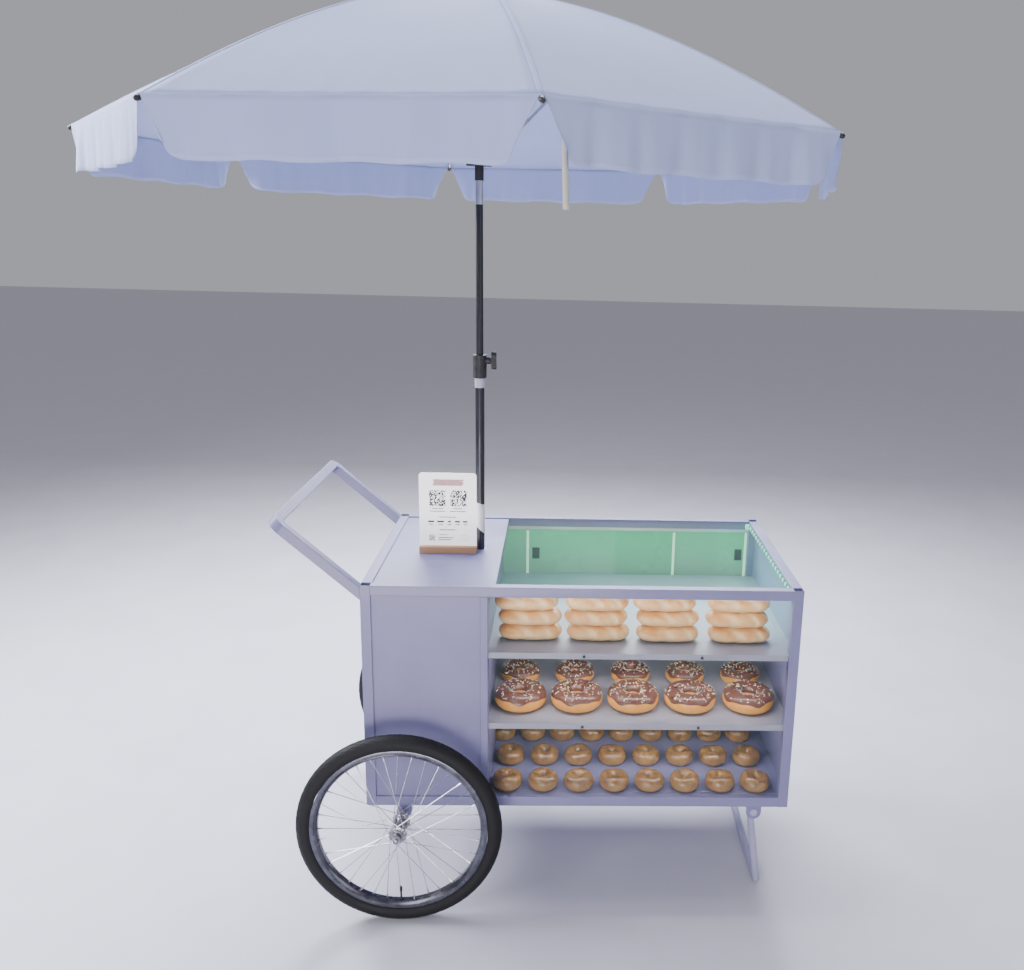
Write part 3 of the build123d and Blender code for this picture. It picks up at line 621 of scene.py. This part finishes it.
for k in range(RIBS):
    number = str(k + 1)
    rib_angle = RIB_TURN + 360.0 / RIBS * k
    gore_angle = rib_angle + 180.0 / RIBS
    turn = math.radians(gore_angle)
    phase = 1.7 * k

    bm = map_grid(30, 44, lambda t, s: on_gore(s, t), gore_flat)
    bmesh.ops.recalc_face_normals(bm, faces=bm.faces)
    face_out(bm, lambda centre: Vector((0, 0, 1)))
    turned(bm, gore_angle)
    gore = make_piece("gore_" + number, bm, "gore_panel_" + number,
                      FINISH["canopy_fabric"], 60, outward=False)
    thicken(gore, 0.0011)
    flatten_modifiers(gore)
    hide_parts("canopy_gore_" + number)

    bm = bmesh.new()
    line = [(rim_out(y) + 0.001, y, RIM_Z + 0.0008)
            for y in [gore_width / 2 * (j / 20 - 1) for j in range(41)]]
    add_tube(bm, line, 0.0026, 8)
    turned(bm, gore_angle)
    hem = make_piece("gore_hem_" + number, bm, "gore_panel_" + number,
                     FINISH["canopy_fabric"], 60)

    bm = map_grid(72, 10, lambda u, v: on_flap(u, v, phase),
                  lambda u, v: (flap_half * math.sin(u * math.pi / 2), flap_drop * (1 - v)))
    bmesh.ops.recalc_face_normals(bm, faces=bm.faces)
    face_out(bm, lambda centre: Vector((1, 0, 0)))
    turned(bm, gore_angle)
    flap = make_piece("flap_" + number, bm, "flap_" + number,
                      FINISH["canopy_fabric"], 60, outward=False)
    thicken(flap, 0.0011)
    flatten_modifiers(flap)
    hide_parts("valance_" + number)

    for piece, joint in ((gore, "gore_fold_"), (hem, "gore_fold_"), (flap, "flap_fold_")):
        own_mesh(piece)

    # Seam tape over the rib, and the cap on its tip.
    def on_tape(u, v):
        radius = 0.022 + (TIP - 0.024) * v
        return Vector((radius, 0.006 * u, dome(radius) + 0.0018 - 0.0014 * u * u))
    bm = map_grid(4, 44, on_tape, lambda u, v: (0.006 * u, 1.1 * v + 0.03))
    bmesh.ops.recalc_face_normals(bm, faces=bm.faces)
    face_out(bm, lambda centre: Vector((0, 0, 1)))
    turned(bm, rib_angle)
    tape = make_piece("seam_tape_" + number, bm, "rib_arm_" + number,
                      FINISH["canopy_fabric"], 60, outward=False)
    thicken(tape, 0.0006)

    bm = bmesh.new()
    cap_z = RIM_Z - 0.0048
    add_spun(bm, [(0.0, -0.004), (0.0062, -0.004), (0.0066, 0.004), (0.0062, 0.010),
                  (0.0040, 0.0135), (0.0, 0.0145)],
             (TIP - 0.002, 0, cap_z), (1, 0, -0.35), 16, closed=False)
    turned(bm, rib_angle)
    make_piece("rib_cap_" + number, bm, "rib_arm_" + number, FINISH["black_plastic"])

# Finial over the middle of the canopy.
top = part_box("crown")[1].z
apex = dome(0.0)
bm = bmesh.new()
add_spun(bm, [(0.0, 0.0), (0.034, 0.0), (0.036, 0.003), (0.033, 0.007), (0.016, 0.012),
              (0.012, 0.022), (0.010, 0.030), (0.006, 0.034), (0.0, 0.0355)],
         (0, 0, apex + 0.0005), (0, 0, 1), 32, closed=False)
make_piece("finial", bm, "upper_mast", FINISH["black_plastic"])

# Tie strap sewn inside the hem of the front gore.
turn = math.radians(RIB_TURN - 22.5)
out_dir, side_dir = Vector((math.cos(turn), math.sin(turn), 0)), Vector(
    (-math.sin(turn), math.cos(turn), 0))
strap_root = out_dir * (rim_out(-0.3525) - 0.004) + side_dir * -0.3525


def on_strap(u, v):
    sway = 0.004 * math.sin(v * 4.0)
    base = strap_root + side_dir * (0.007 * u) - out_dir * sway
    return Vector((base.x, base.y, RIM_Z - 0.003 - 0.200 * v))


bm = map_grid(2, 20, on_strap, lambda u, v: (0.007 * u, 0.2 * v + 0.03))
strap = make_piece("tie_strap", bm, "flap_8", STRAP, 60)
thicken(strap, 0.0016)
flatten_modifiers(strap)
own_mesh(strap)


# ---- Pole fittings ------------------------------------------------------------------

clamp_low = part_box("height_clamp")[0]
bm = bmesh.new()
add_spun(bm, [(0.0143, -0.030), (0.0158, -0.029), (0.0160, -0.001), (0.0143, 0.0)],
         (0, 0, clamp_low.z - 0.0005), (0, 0, 1), 32)
make_piece("clamp_band", bm, "lower_mast", BAND)

# Paper tag wrapped round the front of the pole.
tag_low, tag_high = 1.080, 1.174


def on_tag(u, v):
    angle = math.radians(-90 + 78 * u)
    lower = tag_low + 0.010 * (1 - u) - 0.016 * (1 + u) / 2
    upper = tag_high - 0.006 * (1 + u)
    return Vector((0.0148 * math.cos(angle), 0.0148 * math.sin(angle),
                   lower + (upper - lower) * v))


bm = map_grid(16, 4, on_tag, lambda u, v: (0.02 * u, 0.09 * v))
bmesh.ops.recalc_face_normals(bm, faces=bm.faces)
face_out(bm, lambda centre: Vector((centre.x, centre.y, 0)))
tag = make_piece("pole_tag", bm, "lower_mast", TAG_PAPER, 60, outward=False)
thicken(tag, 0.0004)

# Rivets at the stretchers' ends.
for k in range(RIBS):
    rib_angle = RIB_TURN + 360.0 / RIBS * k
    low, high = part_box("stretcher_" + str(k + 1))
    bm = bmesh.new()
    add_rod(bm, (0.380, -0.0072, high.z - 0.0045), (0.380, -0.0058, high.z - 0.0045), 0.0026)
    add_rod(bm, (0.380, 0.0058, high.z - 0.0045), (0.380, 0.0072, high.z - 0.0045), 0.0026)
    turned(bm, rib_angle)
    make_piece("stretcher_rivets_" + str(k + 1), bm, "strut_" + str(k + 1),
               FINISH["rib_steel"])


# ---- Wheels -------------------------------------------------------------------------

def tyre_mesh(centre):
    """Tyre with a shoulder rib on each side and small blocks on the tread."""
    outer, middle = 0.0240, 0.2755
    outline = []
    for degrees in range(-134, 135, 12):
        a = math.radians(degrees)
        lift = 0.0 if abs(degrees) > 50 else -0.0006
        outline.append((middle + (outer + lift) * math.cos(a), (outer + lift) * math.sin(a)))
    inner = [(middle + 0.0200 * math.cos(math.radians(d)), 0.0200 * math.sin(math.radians(d)))
             for d in range(130, -131, -20)]
    bm = bmesh.new()
    add_spun(bm, outline + inner, centre, (0, 1, 0), 120)
    bmesh.ops.recalc_face_normals(bm, faces=bm.faces)
    c = Vector(centre)
    tread = []
    for face in bm.faces:
        p = face.calc_center_median() - c
        radial = math.hypot(p.x, p.z)
        if radial > middle + 0.0150 and face.normal.dot(Vector((p.x, 0, p.z))) > 0:
            step = int(round(math.degrees(math.atan2(p.z, p.x)) / 3.0 - 0.5))
            band = int(round((math.degrees(math.atan2(p.y, radial - middle)) + 134) / 12 - 0.5))
            if (step + band) % 2 == 0:
                tread.append(face)
    bmesh.ops.inset_individual(bm, faces=tread, thickness=0.0011, depth=0.0,
                               use_even_offset=True)
    bmesh.ops.inset_individual(bm, faces=tread, thickness=0.0004, depth=0.0011,
                               use_even_offset=True)
    return bm


def rim_mesh(centre):
    """Double-walled rim with a machined side wall."""
    half = 0.0168
    outline = [
        (0.2578, half), (0.2560, half + 0.0006), (0.2475, half), (0.2462, half - 0.0008),
        (0.2450, half), (0.2400, half - 0.0035), (0.2368, 0.0085), (0.2360, 0.0),
        (0.2368, -0.0085), (0.2400, -half + 0.0035), (0.2450, -half),
        (0.2462, -half + 0.0008), (0.2475, -half), (0.2560, -half - 0.0006),
        (0.2578, -half), (0.2570, -0.0098), (0.2450, -0.0090), (0.2424, 0.0),
        (0.2450, 0.0090), (0.2570, 0.0098)]
    bm = bmesh.new()
    add_spun(bm, outline, centre, (0, 1, 0), 120)
    return bm


SPOKES = 36
SPOKE_SWING = 62.0          # degrees round the hub between a spoke's two ends
SPOKE_RADIUS = 0.0011
SPOKE_LAYER = 0.00135       # crossing spokes lie this far to either side of their middle
HUB_REACH, HUB_HALF = 0.0234, 0.033
RIM_REACH, RIM_HALF = 0.2362, 0.00425


def spoke_mesh(centre):
    """Crossed spokes with their elbows at the hub and their nipples at the rim."""
    bm = bmesh.new()
    c = Vector(centre)
    for k in range(SPOKES):
        side = 1 if k % 2 == 0 else -1
        lead = 1 if k // 2 % 2 == 0 else -1
        at_rim = math.radians(360.0 / SPOKES * k)
        at_hub = at_rim + lead * math.radians(SPOKE_SWING)
        layer = lead * SPOKE_LAYER
        start = c + Vector((HUB_REACH * math.cos(at_hub), -side * (HUB_HALF + layer),
                            HUB_REACH * math.sin(at_hub)))
        end = c + Vector((RIM_REACH * math.cos(at_rim), -side * (RIM_HALF + layer),
                          RIM_REACH * math.sin(at_rim)))
        add_rod(bm, start, end, SPOKE_RADIUS, segments=8)
        along = (end - start).normalized()
        add_rod(bm, end - along * 0.014, end, 0.0021, 0.0026, segments=8)
        head = -side * lead * 0.0026
        add_rod(bm, start - Vector((0, head, 0)), start + Vector((0, head * 0.6, 0)), 0.0021,
                segments=8)
    return bm


def hub_mesh(centre):
    """Hub with two flanges, waisted between them, and a lock nut on each end."""
    outline = [(0.0082, 0.050), (0.0110, 0.050), (0.0118, 0.047), (0.0118, 0.040),
               (0.0150, 0.0385), (0.0165, 0.0358), (0.0250, 0.0352), (0.0262, 0.0345),
               (0.0262, 0.0318), (0.0250, 0.0310), (0.0175, 0.0300), (0.0150, 0.0260),
               (0.0128, 0.012)]
    outline += [(r, -h) for r, h in reversed(outline)]
    bm = bmesh.new()
    add_spun(bm, outline, centre, (0, 1, 0), 48)
    return bm


# CAD node, piece name, mesh, finish and sharp angle of each part of a wheel.
WHEEL_PARTS = (("tyre", "tyre", tyre_mesh, "tyre", 40), ("rim", "rim", rim_mesh, "rim_metal", 25),
               ("spokes", "spoke", spoke_mesh, "spoke_steel", 35),
               ("hub", "hub", hub_mesh, "hub_metal", 30))

for side in ("front", "back"):
    low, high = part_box("tyre_" + side)
    centre = (low + high) / 2
    body = side + "_wheel"
    for node, name, mesh_of, finish, angle in WHEEL_PARTS:
        piece = make_piece(name + "_detail_" + side, mesh_of(centre), body, FINISH[finish],
                           angle)
        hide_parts(node + "_" + side)
    bm = bmesh.new()
    outward = -1 if side == "front" else 1
    inner = centre - Vector((0, 0, 0.232))
    add_rod(bm, inner, inner + Vector((0, 0, 0.034)), 0.0030, 0.0026)
    add_rod(bm, inner + Vector((0, 0, 0.022)), inner + Vector((0, 0, 0.036)), 0.0040)
    make_piece("tyre_valve_" + side, bm, body, FINISH["black_plastic"])
    # Domed cover on the axle's end nut.
    nut_low, nut_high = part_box("axle")
    end = nut_low.y if side == "front" else nut_high.y
    bm = bmesh.new()
    add_spun(bm, [(0.0, 0.0052), (0.0050, 0.0046), (0.0080, 0.0024), (0.0088, -0.001),
                  (0.0082, -0.0012), (0.0, -0.0012)], (centre.x, end, centre.z),
             (0, outward, 0), 24, closed=False)
    make_piece("axle_cap_" + side, bm, "cart", FINISH["hub_metal"])


# ---- Doors, screws and light --------------------------------------------------------

def pull_mesh(x, z, near, far):
    """Flush finger pull through a door, with a raised lip on both faces and a dark sheet across
    the opening inside the lip, painted shade for the hole.
    """
    bm = bmesh.new()
    for face, out in ((near, -1), (far, 1)):
        lip = (face, face + out * 0.0012)
        for low, high in (((x - 0.013, z - 0.021), (x - 0.009, z + 0.021)),
                          ((x + 0.009, z - 0.021), (x + 0.013, z + 0.021)),
                          ((x - 0.009, z - 0.021), (x + 0.009, z - 0.017)),
                          ((x - 0.009, z + 0.017), (x + 0.009, z + 0.021))):
            add_block(bm, (low[0], min(lip), low[1]), (high[0], max(lip), high[1]), 0.0004, 1)
        # Dark sheet across the opening: painted shade where the hole through the door is.
        add_block(bm, (x - 0.0092, min(face, face + out * 0.0004), z - 0.0172),
                  (x + 0.0092, max(face, face + out * 0.0004), z + 0.0172))
    return bm


for name, from_end in (("left", "low"), ("right", "high")):
    low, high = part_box("door_" + name)
    x = low.x + 0.034 if from_end == "low" else high.x - 0.029
    make_piece("finger_pull_" + name, pull_mesh(x, 0.888, low.y, high.y), name + "_door",
               DARK_TRIM_AND_SHADE)
    # Polished edge strip down both ends of the door, with a painted glow in a pale green colour
    # and emission.
    bm = bmesh.new()
    for edge in (low.x, high.x - 0.009):
        add_block(bm, (edge, low.y - 0.0006, low.z + 0.012), (edge + 0.009, low.y, high.z - 0.014))
        add_block(bm, (edge, high.y, low.z + 0.012), (edge + 0.009, high.y + 0.0006,
                                                      high.z - 0.014))
    make_piece("door_edges_" + name, bm, name + "_door", PAINTED_GLOW_EDGE_STRIP)

pane_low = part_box("glass_panes")[0]
bm = bmesh.new()
for z in (0.808, 0.584):
    for x in (0.330, 0.675):
        add_spun(bm, [(0.0, 0.0024), (0.0024, 0.0020), (0.0042, 0.0008), (0.0045, 0.0),
                      (0.0, 0.0)], (x, pane_low.y, z), (0, -1, 0), 20, closed=False)
make_piece("shelf_screws", bm, "cart", DARK_TRIM_AND_SHADE)

led_low, led_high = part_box("led_strip")
bm = bmesh.new()
add_block(bm, (led_low.x - 0.010, led_high.y - 0.002, led_low.z - 0.006),
          (led_high.x, led_high.y + 0.009, led_high.z + 0.002), 0.002)
make_piece("light_connector", bm, "cart", FINISH["light_strip"])


# ---- Sign ---------------------------------------------------------------------------

sign_low, sign_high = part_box("sign")
card_y = (sign_low.y + sign_high.y) / 2
base_top = sign_low.z + 0.022
card_width = sign_high.x - sign_low.x
card_height = sign_high.z - base_top
bm = bmesh.new()
add_block(bm, sign_low, (sign_high.x, sign_high.y, base_top), 0.0015)
base = make_piece("sign_base", bm, "cart", CARD_WOOD)
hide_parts("sign")
bm = bmesh.new()
add_block(bm, (sign_low.x, card_y - 0.002, base_top - 0.006), (sign_high.x, card_y + 0.002,
                                                                sign_high.z))
corners = [e for e in bm.edges if abs((e.verts[0].co - e.verts[1].co).y) > 0.003
           and e.verts[0].co.z > base_top]
bmesh.ops.bevel(bm, geom=corners, offset=0.009, segments=6, profile=0.5, affect="EDGES",
                material=-1)
make_piece("sign_face", bm, "cart", FINISH["sign_card"])


def on_card(u, v):
    """A point just in front of the card: u from the left, v down from the top, 0 to 1."""
    return Vector((sign_low.x + card_width * u, card_y - 0.0022,
                   sign_high.z - card_height * v))


def add_print(bm, left, top, width, height):
    corner, far = on_card(left, top + height), on_card(left + width, top)
    add_block(bm, (corner.x, card_y - 0.0023, corner.z), (far.x, card_y - 0.0019, far.z))


def add_code(bm, left, top, width, cells, seed):
    """A square of light and dark cells, with nothing written in it."""
    rng = random.Random(seed)
    size = card_width * width
    centre = on_card(left, top) + Vector((size / 2, 0, -size / 2))
    place = Matrix.Translation(centre) @ Matrix.Rotation(math.pi / 2, 4, "X")
    made = bmesh.ops.create_grid(bm, x_segments=cells, y_segments=cells, size=size / 2,
                                 matrix=place)["verts"]
    faces = list({f for v in made for f in v.link_faces})
    faces.sort(key=lambda f: (round(f.calc_center_median().z, 5),
                              round(f.calc_center_median().x, 5)))
    light = [f for f in faces if rng.random() < 0.46]
    bmesh.ops.delete(bm, geom=light, context="FACES")


bm = bmesh.new()
add_code(bm, 0.175, 0.235, 0.285, 17, 3)
add_code(bm, 0.545, 0.235, 0.285, 17, 11)
add_code(bm, 0.165, 0.850, 0.105, 11, 5)
for left, width in ((0.15, 0.11), (0.31, 0.12), (0.50, 0.05), (0.62, 0.09), (0.76, 0.08)):
    add_print(bm, left, 0.655, width, 0.022)
make_piece("sign_print_dark", bm, "cart", PRINT_DARK, outward=False)
bm = bmesh.new()
for left, top, width in (
        (0.22, 0.480, 0.20), (0.18, 0.518, 0.27), (0.60, 0.480, 0.15), (0.54, 0.518, 0.27),
        (0.35, 0.598, 0.29), (0.17, 0.700, 0.07), (0.33, 0.700, 0.08), (0.49, 0.700, 0.07),
        (0.63, 0.700, 0.07), (0.77, 0.700, 0.07), (0.35, 0.775, 0.28), (0.33, 0.885, 0.26),
        (0.33, 0.915, 0.22)):
    add_print(bm, left, top, width, 0.012)
ring_centre = on_card(0.80, 0.885)
add_spun(bm, [(0.0092, -0.0001), (0.0100, -0.0001), (0.0100, 0.0002), (0.0092, 0.0002)],
         ring_centre, (0, -1, 0), 32)
make_piece("sign_print_grey", bm, "cart", PRINT_GREY, outward=False)
bm = bmesh.new()
stroke_rng = random.Random(8)
for k in range(9):
    add_print(bm, 0.24 + 0.02 * stroke_rng.random(), 0.085 + 0.0095 * k,
              0.50 + 0.05 * stroke_rng.random(), 0.011)
add_print(bm, 0.34, 0.842, 0.15, 0.012)
make_piece("sign_print_pink", bm, "cart", PRINT_PINK, outward=False)


# ---- Goods --------------------------------------------------------------------------

SHELF_THICKNESS = 0.018
shelf_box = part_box("shelves")
UPPER_SHELF = shelf_box[1].z
LOWER_SHELF = shelf_box[0].z + SHELF_THICKNESS
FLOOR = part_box("glass_panes")[0].z
rng = random.Random(21)


def add_loaf(bm, centre, length, depth, height, lean):
    """A plump scored loaf along X, with its score bands kept as an attribute."""
    scored = bm.verts.layers.float.get("score") or bm.verts.layers.float.new("score")
    made = bmesh.ops.create_uvsphere(bm, u_segments=28, v_segments=44, radius=1.0,
                                     matrix=Matrix.Rotation(math.pi / 2, 4, "Y"))["verts"]
    for vert in made:
        x, y, z = vert.co
        blunt = math.copysign(abs(x) ** 0.78, x)
        girth = 0.0
        if abs(x) < 0.9999:
            girth = math.sqrt(max(1 - abs(blunt) ** 4.6, 0.0)) / math.sqrt(1 - x * x)
        score = math.cos(8.6 * (blunt + 0.70 * y + lean))
        groove = max(score - 0.15, 0.0) ** 1.2 * 0.19
        vert[scored] = max(score, 0.0)
        swell = 1 - groove * (0.35 + 0.65 * max(z, 0.0) + 0.35 * abs(y))
        vert.co = Vector(centre) + Vector((blunt * length / 2, y * girth * swell * depth / 2,
                                           max(z, -0.9) * girth * swell * height / 2))


bm = bmesh.new()
for column, x in enumerate((0.170, 0.3735, 0.583, 0.799)):
    for level in range(3):
        shift = 0.004 * math.sin(3.1 * column + 2.2 * level)
        add_loaf(bm, (x + shift - 0.004 * level, -0.252 + 0.003 * math.cos(5.0 * level + column),
                      UPPER_SHELF + 0.0250 + 0.0478 * level), 0.189, 0.100, 0.0530,
                 0.13 * math.sin(2.0 * column + level))
make_piece("loaves", bm, "cart", LOAF_CRUST, 80)


def ring_outline(radius, hole, height):
    """Section of a ring bun, a rounded and slightly flattened oval."""
    middle, half = (radius + hole) / 2, (radius - hole) / 2
    return [(middle + half * math.cos(a), height / 2 * math.copysign(
        abs(math.sin(a)) ** 0.85, math.sin(a))) for a in
        [math.tau * j / 22 for j in range(22)]]


def add_ring(bm, centre, radius, hole, height, steps=36):
    add_spun(bm, ring_outline(radius, hole, height), centre, (0, 0, 1), steps)


def add_icing(bm, centre, radius, hole, height, seed):
    """Icing over the upper half of a ring, with a wavy lower edge."""
    middle, half = (radius + hole) / 2, (radius - hole) / 2
    made = bmesh.ops.create_grid(bm, x_segments=56, y_segments=14, size=1.0)["verts"]
    for vert in made:
        around, v = vert.co.x * math.pi, (vert.co.y + 1) / 2
        wave = 7.0 * math.sin(5 * around + seed) + 4.0 * math.sin(9 * around + 2 * seed)
        over = math.radians(14 + wave + (156 - wave) * v)
        coat = 0.0004 + 0.0016 * math.sin(math.pi * min(max(v, 0.0), 1.0)) ** 0.35
        out = middle + (half + coat) * math.cos(over)
        lift = (height / 2 + coat) * max(math.sin(over), 0.0) ** 0.85
        vert.co = Vector(centre) + Vector((out * math.cos(around), out * math.sin(around), lift))


ICED = [((x, -0.241), 0.0795, 0.0215, 0.058) for x in (0.142, 0.314, 0.487, 0.664, 0.845)]
ICED += [((x, -0.057), 0.0635, 0.0175, 0.046) for x in (0.134, 0.310, 0.491, 0.670, 0.850)]
rings, icing, sprinkles = bmesh.new(), bmesh.new(), bmesh.new()
TINTS = ((0.86, 0.80, 0.68), (0.88, 0.50, 0.10), (0.80, 0.14, 0.20), (0.86, 0.74, 0.20),
         (0.12, 0.34, 0.66), (0.20, 0.55, 0.25))
tint_counts = []
for number, ((x, y), radius, hole, height) in enumerate(ICED):
    centre = Vector((x, y, LOWER_SHELF + height / 2))
    add_ring(rings, centre, radius, hole, height)
    add_icing(icing, centre, radius, hole, height, 1.3 * number)
    middle, half = (radius + hole) / 2, (radius - hole) / 2
    for _ in range(104):
        around, over = rng.uniform(0, math.tau), math.radians(rng.uniform(30, 150))
        out = middle + (half + 0.0022) * math.cos(over)
        lift = (height / 2 + 0.0022) * math.sin(over) ** 0.85
        normal = Vector((math.cos(over) * math.cos(around), math.cos(over) * math.sin(around),
                         math.sin(over)))
        along = normal.cross(Vector((rng.uniform(-1, 1), rng.uniform(-1, 1),
                                     rng.uniform(-1, 1)))).normalized()
        place = centre + Vector((out * math.cos(around), out * math.sin(around), lift))
        add_rod(sprinkles, place - along * 0.0030, place + along * 0.0030, 0.0012, segments=5)
        tint_counts.append(rng.choice((0, 0, 1, 2, 3, 4, 5)))
make_piece("ring_buns", rings, "cart", RING_DOUGH, 80)
bmesh.ops.recalc_face_normals(icing, faces=icing.faces)
make_piece("ring_icing", icing, "cart", CHOCOLATE, 80)
tint = sprinkles.loops.layers.float_color.new("tint")
sprinkles.faces.ensure_lookup_table()
per_rod = len(sprinkles.faces) // len(tint_counts)
for index, face in enumerate(sprinkles.faces):
    colour = TINTS[tint_counts[min(index // per_rod, len(tint_counts) - 1)]]
    for loop in face.loops:
        loop[tint] = (*colour, 1.0)
make_piece("ring_sprinkles", sprinkles, "cart", SPRINKLES, 40)

bm = bmesh.new()
for count, first, step, y, radius in ((8, 0.107, 0.1087, -0.313, 0.0460),
                                      (8, 0.108, 0.1086, -0.161, 0.0450),
                                      (9, 0.075, 0.0990, -0.004, 0.0430)):
    for j in range(count):
        height = 0.046
        centre = Vector((first + step * j, y, FLOOR + height / 2))
        before = set(bm.verts)
        add_ring(bm, centre, radius, 0.0055, height, 28)
        for vert in [v for v in bm.verts if v not in before]:
            p = vert.co - centre
            around = math.atan2(p.y, p.x)
            vert.co.z += 0.0016 * math.sin(3 * around + 2.1 * j) * max(p.z, 0) / height * 2
make_piece("glazed_buns", bm, "cart", GLAZED_DOUGH, 80)


# ---- Studio -------------------------------------------------------------------------

def stage_plane(name, size, place, material):
    bm = bmesh.new()
    bmesh.ops.create_grid(bm, x_segments=1, y_segments=1, size=size)
    mesh = bpy.data.meshes.new(name)
    bm.to_mesh(mesh)
    bm.free()
    mesh.materials.append(material)
    plane = bpy.data.objects.new(name, mesh)
    plane.matrix_world = place
    scene.collection.objects.link(plane)
    plane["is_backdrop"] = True


FLOOR_FINISH = surface("studio_floor", (0.56, 0.55, 0.62), (0.60, 0.59, 0.66), (0.5, 0.6), 3.0,
                       200.0, 0.02)
stage_plane("studio_floor", 30.0, Matrix.Identity(4), FLOOR_FINISH)

world = bpy.data.worlds.new("studio")
scene.world = world
world.use_nodes = True
background = world.node_tree.nodes["Background"]
background.inputs["Color"].default_value = (0.78, 0.78, 0.86, 1)
background.inputs["Strength"].default_value = 0.50


def area_light(name, place, target, width, height, power, colour=(1, 1, 1), hidden=False):
    data = bpy.data.lights.new(name, "AREA")
    data.shape = "RECTANGLE"
    data.size, data.size_y = width, height
    data.energy = power
    data.color = colour
    lamp = bpy.data.objects.new(name, data)
    aim = (Vector(target) - Vector(place)).to_track_quat("-Z", "Y")
    lamp.matrix_world = Matrix.Translation(place) @ aim.to_matrix().to_4x4()
    scene.collection.objects.link(lamp)
    if hidden:
        lamp.visible_camera = False
    lamp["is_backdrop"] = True


area_light("key_light", (-2.4, -4.2, 3.6), (0.1, 0, 1.0), 2.6, 2.0, 105, (0.98, 0.98, 1.0))
area_light("fill_light", (3.6, -3.4, 2.2), (0.2, 0, 1.0), 2.4, 2.4, 40, (0.94, 0.95, 1.0))
area_light("top_light", (0.4, 0.6, 4.6), (0.1, 0, 1.0), 3.2, 3.2, 150, (0.90, 0.93, 1.0))
area_light("left_light", (-3.0, 0.6, 2.9), (0.0, 0, 1.0), 2.2, 1.6, 310, (0.88, 0.92, 1.0))
area_light("back_light", (0.2, 2.9, 3.3), (0.1, 0, 1.0), 3.0, 1.2, 400, (0.88, 0.92, 1.0))
area_light("low_light", (-0.4, -3.2, 0.35), (0.0, 0.7, 2.3), 2.0, 0.8, 55, (1.0, 0.95, 0.90))
area_light("strip_glow", (0.80, 0.0, 0.92), (0.95, 0.0, 0.90), 0.55, 0.06, 0.9,
           (0.16, 1.0, 0.52), hidden=True)
area_light("top_tier_light", (0.50, 0.12, 0.985), (0.50, 0.14, 0.82), 0.80, 0.30, 1.6,
           (0.22, 1.0, 0.55), hidden=True)
area_light("loaf_light", (0.50, -0.338, 0.975), (0.50, -0.25, 0.86), 0.80, 0.03, 0.25,
           (1.0, 0.98, 0.95), hidden=True)
for label, z in (("middle", 0.790), ("bottom", 0.568)):
    area_light(label + "_tier_light", (0.50, -0.325, z), (0.50, -0.14, z - 0.16), 0.80, 0.05,
               2.6, (1.0, 0.99, 0.97), hidden=True)

# Camera a little above the handle, level with the runner of the umbrella.
pitch, heading, roll = (math.radians(a) for a in (13.984, 2.335, 1.562))
forward = Vector((math.sin(heading) * math.cos(pitch), math.cos(heading) * math.cos(pitch),
                  -math.sin(pitch)))
right = Vector((math.cos(heading), -math.sin(heading), 0))
up = Vector((math.sin(heading) * math.sin(pitch), math.cos(heading) * math.sin(pitch),
             math.cos(pitch)))
axis_x = right * math.cos(roll) + up * math.sin(roll)
axis_y = up * math.cos(roll) - right * math.sin(roll)
camera_data = bpy.data.cameras.new("camera")
camera = bpy.data.objects.new("camera", camera_data)
turn = Matrix((axis_x, axis_y, -forward)).transposed().to_4x4()
camera.matrix_world = Matrix.Translation((0.254, -3.038, 1.989)) @ turn
camera_data.sensor_width = 36.0
camera_data.lens = 34.79
camera_data.shift_x = -0.0859
scene.collection.objects.link(camera)
scene.camera = camera

low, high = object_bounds()
